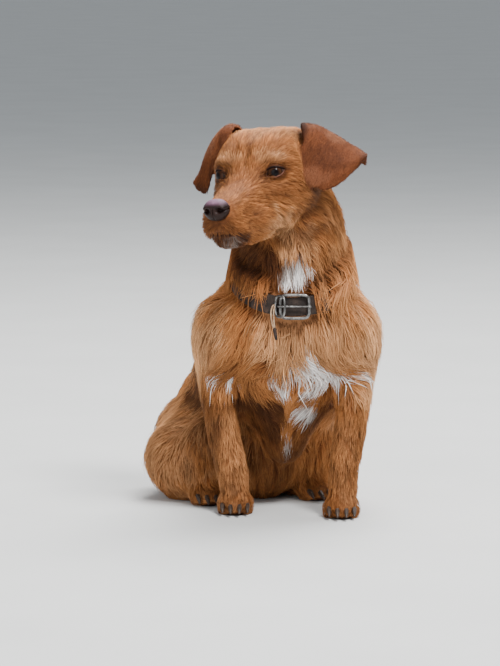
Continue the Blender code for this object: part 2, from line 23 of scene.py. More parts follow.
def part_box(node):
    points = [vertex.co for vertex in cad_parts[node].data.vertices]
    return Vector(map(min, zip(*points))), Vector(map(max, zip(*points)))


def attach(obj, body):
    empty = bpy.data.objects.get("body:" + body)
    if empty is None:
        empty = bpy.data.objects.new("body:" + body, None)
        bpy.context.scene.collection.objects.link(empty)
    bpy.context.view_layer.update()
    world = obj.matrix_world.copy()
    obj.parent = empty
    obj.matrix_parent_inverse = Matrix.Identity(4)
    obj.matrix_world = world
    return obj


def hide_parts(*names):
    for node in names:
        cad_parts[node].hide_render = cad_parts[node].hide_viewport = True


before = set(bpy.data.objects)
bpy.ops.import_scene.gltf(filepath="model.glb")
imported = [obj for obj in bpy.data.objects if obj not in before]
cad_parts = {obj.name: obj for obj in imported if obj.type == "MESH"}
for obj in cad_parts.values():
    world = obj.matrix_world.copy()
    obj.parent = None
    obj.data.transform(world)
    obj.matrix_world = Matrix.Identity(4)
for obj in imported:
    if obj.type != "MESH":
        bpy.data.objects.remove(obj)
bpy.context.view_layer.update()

LOG = logging.getLogger("terrier")
MM = 0.001
WELD = 0.01                      # points nearer than this are one
SQUARE_CENTIMETRES = 1e4         # in a square metre
PATCH = 0.003                    # width of a tuft's place on the map OFBake
MAP_LENGTH = 100                 # millimetres along a bar to one unit of its map
Array = np.ndarray
Piece = bpy.types.Object
Socket = bpy.types.NodeSocket

FLESH = ("head", "lower_jaw", "neck", "trunk", "tail", "foreleg_left", "foreleg_right", "forepaw_left",
         "forepaw_right", "hindleg_left", "hindleg_right", "ear_left", "ear_right")
FILLERS = ("eye_left", "eye_right", "collar_strap")    # they close the hollows of the flesh
UP = np.array([0, 0, 1.0])


# ---------------------------------------------------------------- places on the body

def unit(vectors: Array) -> Array:
    """Rows scaled to length one."""
    return vectors / np.maximum(np.linalg.norm(vectors, axis=-1, keepdims=True), 1e-12)


def dots(a: Array, b: Array) -> Array:
    """Row by row scalar products."""
    return (a * b).sum(-1)


def square(vectors: Array, axes: Array) -> Array:
    """Vectors of length one, turned square to their axes."""
    return unit(vectors - axes * dots(vectors, axes)[..., None])


def circle(count: int) -> Array:
    """Angles once round."""
    return np.arange(count) * 2 * math.pi / count


def between(value: Array, low: float, high: float) -> Array:
    """Whether each value lies between two others."""
    return (value > low) & (value < high)


def bent(value: Array, power: float) -> Array:
    """A power of the value that keeps its sign: a circle's cos and sin make a superellipse."""
    return np.sign(value) * np.abs(value) ** power


def bell(value: Array, width: float, power: float = 2) -> Array:
    """One at nought, falling off on both sides over the width."""
    return np.exp(-np.abs(value / width) ** power)


def ease(value: Array, low: float, high: float) -> Array:
    """A soft step from 0 at low to 1 at high."""
    t = np.clip((value - low) / (high - low), 0, 1)
    return t * t * (3 - 2 * t)


def clouds(points: Array, size: float, seed: int) -> Array:
    """Smooth noise of about -1 to 1: a mean of twelve sine waves with lengths near size."""
    rng = np.random.default_rng(seed)
    waves = rng.normal(size=(3, 12)) / size
    return np.sin(points @ waves + rng.uniform(0, 2 * math.pi, 12)).mean(-1) * 2.2


@dataclass(frozen=True)
class Place:
    """A frame on the body: its origin in metres and its three axes as rows."""

    origin: Array
    axes: Array

    def out(self, points: Sequence) -> Array:
        """Millimetres in this frame, in metres in the model's frame."""
        return self.origin + np.asarray(points, float) * MM @ self.axes

    def into(self, points: Array) -> Array:
        """Metres in the model's frame, in millimetres in this frame."""
        return (points - self.origin) / MM @ self.axes.T

    def turn(self, directions: Sequence) -> Array:
        """Directions in this frame, in the model's frame."""
        return np.asarray(directions, float) @ self.axes


def middle(node: str) -> Array:
    """The middle of a CAD node's box."""
    low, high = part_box(node)
    return (np.array(low) + np.array(high)) / 2


class Anatomy:
    """The frames of head, body and pelvis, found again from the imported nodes."""

    EYE_BACK = 8.5                       # of the eyeballs' middles behind the head's origin
    NOSE = (0.0, -67.0, -28.5)           # middle of the nose in the head's frame
    COLLAR = (4.0, -0.5)                 # middle of the strap's box over the body's origin
    PELVIS = (-53.0, 150.0)
    PELVIS_YAW = 17.0

    def __init__(self) -> None:
        """Finds the three frames."""
        left, right = middle("eye_left"), middle("eye_right")
        across = unit(left - right)
        ahead = square(middle("nose") - (left + right) / 2, across)
        rise = np.cross(across, ahead)
        run, fall = self.NOSE[1] - self.EYE_BACK, self.NOSE[2]
        back = unit(run * ahead - fall * rise)
        axes = np.array([across, back, np.cross(across, back)])
        self.head = Place((left + right) / 2 - back * self.EYE_BACK * MM, axes)
        strap = middle("collar_strap")
        ground = np.array([strap[0] - self.COLLAR[0] * MM, strap[1] - self.COLLAR[1] * MM, 0])
        self.body = Place(ground, np.eye(3))
        c, s = math.cos(math.radians(self.PELVIS_YAW)), math.sin(math.radians(self.PELVIS_YAW))
        self.pelvis = Place(self.body.out((*self.PELVIS, 0)), np.array([[c, s, 0], [-s, c, 0], [0, 0, 1]]))

    def named(self, name: str) -> Place:
        """The frame called head, body or pelvis."""
        return {"head": self.head, "body": self.body, "pelvis": self.pelvis}[name]


# ---------------------------------------------------------------- meshes from arrays

def make_mesh(name: str, points: Array, faces: Sequence[Array], smooth: bool = True) -> Piece:
    """An object at the origin from points in metres and rows of corner numbers.

    Args:
        name: The piece's name.
        points: One row for each vertex.
        faces: Arrays of faces, each with its own number of corners.
        smooth: Whether its faces are shaded smooth.

    Returns:
        The object, linked to the scene.
    """
    faces = [np.asarray(f, np.int32) for f in faces if len(f)]
    mesh = bpy.data.meshes.new(name)
    corners = np.concatenate([f.ravel() for f in faces])
    sizes = np.concatenate([np.full(len(f), f.shape[1], np.int32) for f in faces])
    mesh.vertices.add(len(points))
    mesh.vertices.foreach_set("co", np.ascontiguousarray(points, np.float32).ravel())
    mesh.loops.add(len(corners))
    mesh.loops.foreach_set("vertex_index", corners)
    mesh.polygons.add(len(sizes))
    mesh.polygons.foreach_set("loop_start", np.concatenate([[0], np.cumsum(sizes)[:-1]]).astype(np.int32))
    mesh.polygons.foreach_set("use_smooth", np.full(len(sizes), smooth))
    mesh.update(calc_edges=True)
    made = bpy.data.objects.new(name, mesh)
    bpy.context.scene.collection.objects.link(made)
    return made


def colour_layer(obj: Piece, name: str, values: Array) -> None:
    """Stores four numbers for each vertex as a colour attribute."""
    layer = obj.data.color_attributes.new(name, "FLOAT_COLOR", "POINT")
    layer.data.foreach_set("color", np.ascontiguousarray(values, np.float32).ravel())


def uv_layer(obj: Piece, name: str, of_vertex: Array) -> None:
    """Stores a place on a map for each corner, taken from its vertex."""
    corner = np.empty(len(obj.data.loops), np.int32)
    obj.data.loops.foreach_get("vertex_index", corner)
    obj.data.uv_layers.new(name=name).data.foreach_set("uv", of_vertex[corner].astype(np.float32).ravel())


def globe(rows: int, columns: int, crowding: float) -> tuple:
    """Angles from the front pole, as a column, and round it, as a row.

    Args:
        rows: How many rings there are from pole to pole.
        columns: Corners of each.
        crowding: Over 1 where the rings lie closer together near the front pole.

    Returns:
        Both kinds of angles.
    """
    return (np.linspace(0, 1, rows) ** crowding * math.pi)[:, None], circle(columns)[None]


def grid_faces(rows: int, columns: int, closed_rows: bool, closed_columns: bool) -> Array:
    """The quads of a grid of rows by columns, whose ends may be joined."""
    i = np.arange(rows if closed_rows else rows - 1)[:, None]
    j = np.arange(columns if closed_columns else columns - 1)[None, :]
    k, l = (i + 1) % rows, (j + 1) % columns
    return np.stack([i * columns + j, i * columns + l, k * columns + l, k * columns + j], -1).reshape(-1, 4)


def loft(name: str, rings: Array, ends: Array, where: Array, closed: bool) -> Piece:
    """A skin carried over rings of points.

    Args:
        name: The piece's name.
        rings: Points in metres, a row for each ring.
        ends: The middles of the first and last ring, where a fan closes a skin that isn't a loop.
        where: Each point's place on the map, length along and turn round it.
        closed: Whether the last ring joins the first.

    Returns:
        The closed piece with its map, run.
    """
    count, sides = rings.shape[:2]
    points, where = rings.reshape(-1, 3), where.reshape(-1, 2)
    faces = [grid_faces(count, sides, closed, True)]
    if not closed:
        k, last = np.arange(sides), (count - 1) * sides
        l = (k + 1) % sides
        hub = np.full(sides, len(points))
        faces += [np.stack([hub, l, k], 1), np.stack([hub + 1, last + k, last + l], 1)]
        points, where = np.vstack([points, ends]), np.vstack([where, where[:1], where[-1:]])
    made = make_mesh(name, points, faces)
    uv_layer(made, "run", where)
    return made


def tube(name: str, path: Array, side: Array, radii: Array, sides: int = 10, closed: bool = False,
         flat: float = 1.0) -> Piece:
    """A round bar along a path: each ring is the path's point plus cos and sin of the turn times its radius
    along the side and along heading x side.

    Args:
        name: The piece's name.
        path: Points in metres.
        side: A direction that is never along the path.
        radii: The radius in millimetres, one or one for each point.
        sides: Corners of a ring.
        closed: Whether the path is a loop.
        flat: How thick the bar is for its width.

    Returns:
        The bar, closed at both ends.
    """
    along_path = np.roll(path, -1, 0) - np.roll(path, 1, 0) if closed else np.gradient(path, axis=0)
    heading = unit(along_path)
    across = square(np.broadcast_to(side, path.shape), heading)
    up = np.cross(heading, across)
    turn = circle(sides)
    size = np.broadcast_to(radii, (len(path),))[:, None, None] * MM
    rings = path[:, None] + size * (across[:, None] * np.cos(turn)[None, :, None]
                                    + flat * up[:, None] * np.sin(turn)[None, :, None])
    along = np.concatenate([[0], np.cumsum(np.linalg.norm(np.diff(path, axis=0), axis=1))]) / MM / MAP_LENGTH
    where = np.stack(np.broadcast_arrays(along[:, None], turn[None] / (2 * math.pi)), -1)
    return loft(name, rings, path[[0, -1]], where, closed)


def mend(made: Piece, weld: bool) -> None:
    """Turns a mesh's faces outwards, where asked after joining points that coincide."""
    bm = bmesh.new()
    bm.from_mesh(made.data)
    if weld:
        bmesh.ops.remove_doubles(bm, verts=bm.verts, dist=WELD * MM)
    bmesh.ops.recalc_face_normals(bm, faces=bm.faces)
    bm.to_mesh(made.data)
    bm.free()


def spline(knots: Sequence, per_span: int) -> Array:
    """A smooth curve through rows of numbers, by cubic pieces with the knots' mean slopes."""
    knots = np.asarray(knots, float)
    padded = np.vstack([2 * knots[0] - knots[1], knots, 2 * knots[-1] - knots[-2]])
    t = np.linspace(0, 1, per_span, endpoint=False)[None, :, None]
    a, b, c, d = (padded[i:len(padded) - 3 + i, None] for i in range(4))
    run = 0.5 * (2 * b + (c - a) * t + (2 * a - 5 * b + 4 * c - d) * t ** 2
                 + (3 * b - a - 3 * c + d) * t ** 3)
    return np.vstack([run.reshape(-1, knots.shape[1]), knots[-1]])


def neighbours(edges: Array, count: int) -> Array:
    """For each vertex, the numbers of those that share an edge with it, padded with its own."""
    pairs = np.vstack([edges, edges[:, ::-1]])
    pairs = pairs[np.argsort(pairs[:, 0], kind="stable")]
    first = np.searchsorted(pairs[:, 0], np.arange(count))
    rank = np.arange(len(pairs)) - first[pairs[:, 0]]
    table = np.tile(np.arange(count)[:, None], (1, rank.max() + 2))
    table[pairs[:, 0], rank + 1] = pairs[:, 1]
    return table


# ---------------------------------------------------------------- finishes

class Shader:
    """A Principled material and the nodes of its pattern."""

    def __init__(self, name: str, roughness: float, metallic: float = 0.0, **sockets: float) -> None:
        """Makes the material and sets the sockets that are the same all over it."""
        self.material = bpy.data.materials.new(name)
        self.material.use_nodes = True
        self.nodes = self.material.node_tree.nodes
        self.surface = self.nodes["Principled BSDF"]
        self.surface.inputs["Roughness"].default_value = roughness
        self.surface.inputs["Metallic"].default_value = metallic
        for socket, value in sockets.items():
            self.surface.inputs[socket.replace("_", " ")].default_value = value

    def add(self, kind: str, inputs: Optional[dict] = None, **settings: object) -> bpy.types.Node:
        """Adds a node, sets its options, and links or sets its inputs."""
        node = self.nodes.new(kind)
        for name, value in settings.items():
            setattr(node, name, value)
        for name, value in (inputs or {}).items():
            if isinstance(value, bpy.types.NodeSocket):
                self.material.node_tree.links.new(value, node.inputs[name])
            else:
                node.inputs[name].default_value = value
        return node

    def math(self, operation: str, a: object, b: object = 0.0, c: Optional[object] = None) -> Socket:
        """One sum of two or three numbers."""
        terms = {0: a, 1: b} if c is None else {0: a, 1: b, 2: c}
        return self.add("ShaderNodeMath", terms, operation=operation).outputs[0]

    def mix(self, factor: object, a: object, b: object, mode: str = "MIX") -> Socket:
        """Two colours mixed."""
        node = self.add("ShaderNodeMix", {0: factor, 6: a, 7: b}, data_type="RGBA", blend_type=mode)
        return node.outputs[2]

    def ramp(self, value: Socket, *stops: tuple) -> Socket:
        """A colour, or a grey of one number, for each value, between stops of (place, colour)."""
        node = self.add("ShaderNodeValToRGB", {0: value})
        elements = node.color_ramp.elements
        for k, (place, colour) in enumerate(stops):
            element = elements[k] if k < 2 else elements.new(place)
            element.position = place
            element.color = (*np.broadcast_to(colour, 3), 1)
        return node.outputs[0]

    def noise(self, scale: float, detail: float = 3.0, stretch: Optional[tuple] = None,
              uv: Optional[str] = None) -> Socket:
        """Noise on the object's coordinates or on a map, scale cells to the metre."""
        vector = self.coordinates(uv)
        if stretch:
            vector = self.add("ShaderNodeMapping", {0: vector, 3: stretch}).outputs[0]
        return self.add("ShaderNodeTexNoise", {"Vector": vector, "Scale": scale, "Detail": detail}).outputs[0]

    def cells(self, scale: float) -> Socket:
        """Distance inside Voronoi cells, scale cells to the metre."""
        node = self.add("ShaderNodeTexVoronoi", {"Vector": self.coordinates(None), "Scale": scale})
        return node.outputs["Distance"]

    def coordinates(self, uv: Optional[str]) -> Socket:
        """Object coordinates, or a named map."""
        if uv:
            return self.add("ShaderNodeUVMap", uv_map=uv).outputs[0]
        return self.add("ShaderNodeTexCoord").outputs["Object"]

    def parts(self, attribute: str) -> list:
        """The red, green, blue and alpha of a vertex attribute."""
        node = self.add("ShaderNodeAttribute", attribute_name=attribute)
        split = self.add("ShaderNodeSeparateColor", {0: node.outputs["Color"]})
        return [*split.outputs, node.outputs["Alpha"]]

    def bump(self, height: Socket, depth: float, strength: float = 0.6) -> None:
        """Raises the surface by a pattern up to a depth in millimetres."""
        node = self.add("ShaderNodeBump", {"Height": height, "Distance": depth * MM, "Strength": strength})
        self.put("Normal", node.outputs[0])

    def put(self, socket: str, value: Socket) -> None:
        """Feeds one of the surface's sockets."""
        self.material.node_tree.links.new(value, self.surface.inputs[socket])

    def dress(self, made: Piece) -> None:
        """Gives the material to a piece."""
        made.data.materials.clear()
        made.data.materials.append(self.material)

    def fit(self, made: Piece, slot: str, *nodes: str) -> None:
        """Dresses a piece, lets it ride on the dog and stand for nodes of the solids."""
        self.dress(made)
        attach(made, "root")
        if nodes:
            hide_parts(*nodes)


@dataclass(frozen=True)
class Hair:
    """The colours of the coat from root to tip, and how marks change them."""

    root: tuple = (0.085, 0.025, 0.008)
    shaft: tuple = (0.285, 0.096, 0.027)
    tip: tuple = (0.50, 0.205, 0.066)
    white_root: tuple = (0.62, 0.50, 0.43)
    white_tip: tuple = (0.96, 0.92, 0.89)
    rust: tuple = (0.42, 0.32, 0.37)            # what rust and shade multiply the colour by; shade is darker hair and painted shade
    shade: tuple = (0.17, 0.14, 0.12)
    # paler hair, and painted light on lit places, mixed in towards the tips
    fawn_and_light: tuple = (0.76, 0.40, 0.19)

    HAIRS = 7.0                                 # about how many hairs lie side by side in a tuft
    WAVES = 1.6                                 # of tone along a hair
    APART = 91.0                                # how far tufts lie from each other in the noise
    DARKEST, TONES = 0.46, 1.05                 # brightness of the darkest tuft, and the span above it

    def shader(self, name: str, on_skin: bool) -> Shader:
        """The material of the tufts or of the skin.

        Args:
            name: Its name.
            on_skin: Whether it shows no single hairs, as the skin between the tufts.

        Returns:
            The shader, ready to dress a piece.
        """
        made = Shader(name, 0.66, Specular_IOR_Level=0.14)
        white, rust, shade, fawn_and_light = made.parts("marks")
        place, tone, across, chance = made.parts("strand")
        red = made.ramp(place, (0.0, self.root), (0.42, self.shaft), (1.0, self.tip))
        # towards the tips the colour mixes into paler hair and painted light; rust and shade then multiply
        # it, shade for darker hair and painted shade
        red = made.mix(made.math("MULTIPLY", fawn_and_light, place), red, (*self.fawn_and_light, 1))
        red = made.mix(rust, red, (*self.rust, 1), "MULTIPLY")
        pale = made.ramp(place, (0.0, self.white_root), (0.7, self.white_tip), (1.0, self.white_tip))
        colour = made.mix(shade, made.mix(white, red, pale), (*self.shade, 1), "MULTIPLY")
        tone = made.math("MULTIPLY_ADD", tone, self.TONES, self.DARKEST)
        if on_skin:
            fine = made.noise(1400, 2)
            streaks = made.ramp(fine, (0.3, 0.75), (0.7, 1.1))
        else:
            scaled = ((across, self.HAIRS), (place, self.WAVES), (chance, self.APART))
            axes = {k: made.math("MULTIPLY", value, scale) for k, (value, scale) in enumerate(scaled)}
            grain = made.add("ShaderNodeCombineXYZ", axes).outputs[0]
            fine = made.add("ShaderNodeTexNoise", {"Vector": grain, "Scale": 1.0, "Detail": 2.0}).outputs[0]
            streaks = made.ramp(fine, (0.30, 0.50), (0.52, 0.98), (0.70, 1.30))
        tone = made.math("MULTIPLY", tone, streaks)
        toned = made.add("ShaderNodeVectorMath", {0: colour, 3: tone}, operation="SCALE")
        made.put("Base Color", toned.outputs[0])
        made.bump(fine, 0.35 if on_skin else 0.14, 0.5)
        return made


# ---------------------------------------------------------------- the lie, depth and length of the hair

class Coat(Enum):
    """The coat's pieces."""

    MUZZLE = "coat_muzzle"
    FACE = "coat_face"
    CROWN = "coat_crown"
    CHEEKS = "coat_cheeks"
    EARS = "coat_ears"
    NECK = "coat_neck"
    CHEST = "coat_chest"
    SHOULDERS = "coat_shoulders"
    BACK = "coat_back"
    FLANKS = "coat_flanks"
    HAUNCHES = "coat_haunches"
    FORELEGS = "coat_forelegs"
    FEET = "coat_feet"
    TAIL = "coat_tail"


@dataclass(frozen=True)
class Lie:
    """How the hair lies near one line on the body; the nearest lines share each point between them."""

    coat: Coat
    place: str
    start: tuple
    end: tuple
    flow: Optional[tuple]        # direction of the hair, or None for that of the line
    reach: float                 # how far the line governs
    depth: float                 # of the coat, from skin to tips
    length: float                # of the tufts
    crowd: float                 # tufts to the square centimetre
    both: bool = True            # mirrored to the other side as well

    def lines(self) -> list:
        """Start, end and flow of the line and of its mirror image."""
        flow = self.flow or tuple(e - s for s, e in zip(self.start, self.end))
        found = [(self.start, self.end, flow)]
        if self.both:
            found.append(tuple((-p[0], *p[1:]) for p in found[0]))
        return found


def lies(coat: Coat, place: str, *rows: tuple) -> list:
    """Lines of one coat, from rows that give the rest of each line's values in their order."""
    return [Lie(coat, place, *row) for row in rows]


LIES = (
    *lies(Coat.MUZZLE, "head",
          ((0, -62, -18), (0, -12, -3), (0, 1, 0.35), 9, 1.0, 4.5, 90, False),
          ((15, -58, -36), (24, -14, -34), (0.3, 1, -0.12), 11, 1.4, 6.0, 85),
          ((15, -48, -52), (22, -5, -54), (0.25, 1, -0.35), 9, 1.8, 7.5, 80),
          ((0, -60, -62), (0, -34, -69), (0, 0.6, -0.8), 10, 2.0, 8.0, 75, False)),
    *lies(Coat.FACE, "head",
          ((0, 0, 14), (0, 34, 36), (0, 0.7, 0.7), 16, 2.0, 6.5, 78, False),
          ((20, 0, 13), (34, 14, 17), (0.45, 0.6, 0.6), 9, 1.8, 6.0, 85),
          ((26, -6, -14), (38, 16, -16), (0.5, 1, -0.35), 9, 1.8, 6.0, 85),
          ((44, 22, 6), (50, 50, 6), (0.15, 1, -0.25), 14, 2.2, 7.0, 70)),
    *lies(Coat.CROWN, "head",
          ((0, 44, 40), (0, 88, 28), (0, 1, -0.1), 22, 3.0, 9.0, 60, False)),
    *lies(Coat.CHEEKS, "head",
          ((36, 10, -34), (50, 50, -26), (0.25, 1, -0.45), 16, 3.2, 12.0, 58),
          ((26, 8, -58), (40, 50, -58), (0.1, 0.9, -0.6), 13, 3.5, 13.0, 54),
          ((0, -25, -72), (0, 40, -80), (0, 1, -0.2), 16, 3.0, 11.0, 52, False)),
    *lies(Coat.EARS, "head",
          ((40, 52, 39), (46, 32, 20), None, 8, 0.9, 4.0, 80, False),
          ((58, 66, 29), (57, 34, -6), None, 8, 0.9, 4.0, 80, False),
          ((80, 77, 11), (78, 58, -12), None, 8, 0.9, 4.0, 80, False),
          ((42, 79, 14), (48, 62, 33), None, 6, 0.9, 4.0, 70, False),
          ((64, 87, 3), (66, 72, 21), None, 6, 0.9, 4.0, 70, False),
          ((-40, 60, 43), (-40, 33, 25), None, 8, 0.9, 4.0, 80, False),
          ((-59, 62, 36), (-55, 27, -4), None, 8, 0.9, 4.0, 80, False),
          ((-76, 58, 8), (-68, 32, -19), None, 8, 0.9, 4.0, 80, False),
          ((-44, 75, 18), (-47, 60, 40), None, 6, 0.9, 4.0, 70, False)),
    *lies(Coat.NECK, "body",
          ((0, 36, 340), (4, 68, 246), None, 24, 6.0, 22.0, 30, False),
          ((58, 0, 300), (62, 8, 245), (0.05, 0.12, -1), 22, 6.5, 24.0, 36),
          ((0, -50, 300), (4, -60, 245), (0, -0.1, -1), 20, 5.5, 18.0, 40, False)),
    *lies(Coat.CHEST, "body",
          ((3, -64, 222), (3, -64, 165), (0, -0.05, -1), 22, 8.0, 28.0, 32, False),
          ((42, -48, 222), (52, -42, 170), (0.42, -0.1, -1), 22, 8.0, 30.0, 30, False),
          ((-42, -48, 222), (-52, -42, 170), (-0.65, -0.1, -1), 22, 8.0, 30.0, 30, False),
          ((20, -62, 147), (78, -34, 142), (1, -0.05, -0.18), 16, 7.0, 27.0, 36, False),
          ((-22, -58, 150), (-76, -32, 143), (-1, -0.05, -0.4), 13, 9.0, 30.0, 38, False),
          ((-20, -48, 118), (-50, -22, 114), (0.25, 0.1, -1), 9, 3.0, 16.0, 40, False),
          ((26, -38, 120), (12, -25, 90), (-0.75, -0.1, -0.65), 13, 5.5, 22.0, 36),
          ((-2, -48, 140), (-4, -10, 80), (0, 0.1, -1), 8, 6.5, 20.0, 38, False)),
    *lies(Coat.SHOULDERS, "body",
          ((84, -2, 215), (92, 6, 165), (0.1, 0.25, -1), 26, 7.5, 28.0, 28),
          ((84, 0, 150), (82, 0, 110), (-0.05, 0.25, -1), 20, 5.5, 20.0, 32)),
    *lies(Coat.BACK, "body",
          ((0, 98, 195), (-8, 130, 158), None, 30, 6.5, 26.0, 21, False),
          ((-20, 150, 130), (-45, 190, 80), None, 30, 6.5, 26.0, 21, False)),
    *lies(Coat.FLANKS, "body",
          ((85, 60, 165), (82, 110, 110), (0, 0.6, -0.8), 26, 6.0, 26.0, 23),
          ((68, 40, 110), (64, 80, 70), (0, 0.5, -0.9), 22, 6.0, 24.0, 23),
          ((-4, 25, 70), (-10, 60, 40), (0, 0.2, -1), 16, 5.0, 20.0, 24, False)),
    *lies(Coat.HAUNCHES, "pelvis",
          ((78, -40, 80), (92, -10, 40), (0.1, 0.35, -1), 26, 6.5, 26.0, 25),
          ((60, -90, 70), (60, -100, 40), (0, -0.2, -1), 18, 5.0, 20.0, 30),
          ((0, 40, 60), (0, 50, 25), (0, 0.5, -1), 26, 6.0, 24.0, 21, False)),
    *lies(Coat.FORELEGS, "body",
          ((66, 0, 138), (54, -32, 28), None, 20, 3.2, 12.0, 50, False),
          ((-66, 7, 138), (-54, -8, 28), None, 20, 3.2, 12.0, 50, False)),
    *lies(Coat.FEET, "body",
          ((53, -36, 20), (53, -58, 8), (0, -1, -0.35), 13, 1.6, 6.0, 66, False),
          ((-53, -12, 20), (-53, -34, 8), (0, -1, -0.35), 13, 1.6, 6.0, 66, False)),
    *lies(Coat.FEET, "pelvis",
          ((58, -60, 14), (58, -106, 9), (0, -1, -0.2), 12, 1.8, 7.0, 56)),
    *lies(Coat.TAIL, "body",
          ((-59, 197, 35), (-38, 220, 14), None, 13, 3.8, 18.0, 36, False),
          ((-38, 220, 14), (22, 222, 11), None, 12, 3.2, 18.0, 36, False),
          ((22, 222, 11), (62, 199, 8), None, 10, 2.4, 15.0, 40, False)),
)
COATS = list(Coat)
SHORT = (Coat.MUZZLE, Coat.FACE, Coat.EARS, Coat.FEET, Coat.CROWN, Coat.FORELEGS)     # tufts of fewer rings


class Mark(Enum):
    """The coat's marks, each a channel of the marks attribute: white hair, rust on the ears, darker hair
    together with painted shade, and paler hair together with painted light.
    """

    WHITE = 0
    RUST = 1
    SHADE = 2
    FAWN_AND_LIGHT = 3


WHITE, RUST, SHADE = Mark.WHITE.value, Mark.RUST.value, Mark.SHADE.value


@dataclass(frozen=True)
class Patch:
    """A patch of one mark, painted shade and painted light included, that fills an ellipsoid with a ragged
    edge.
    """

    mark: Mark
    place: str
    at: tuple
    radii: tuple
    strength: float
    ragged: float
    both: bool                   # mirrored to the other side as well
    on_ears: bool                # a mark is either only on the ears or only off them

    def paint(self, points: Array, anatomy: Anatomy) -> Array:
        """How strongly the mark covers points in metres: one inside, fading over the ragged edge."""
        place = anatomy.named(self.place)
        near = place.into(points)
        found = np.zeros(len(points))
        for side in (1, -1) if self.both else (1,):
            gap = (near - np.array(self.at) * (side, 1, 1)) / self.radii
            away = np.linalg.norm(gap, axis=1) + self.ragged * clouds(points, 0.006, 3 + self.mark.value)
            found = np.maximum(found, 1 - ease(away, 0.72, 1.28))
        return found * self.strength


def patches(mark: Mark, place: str, *rows: tuple, both: bool = False, on_ears: bool = False) -> list:
    """Patches of one mark, from rows of middle, radii, strength and raggedness."""
    return [Patch(mark, place, *row, both, on_ears) for row in rows]


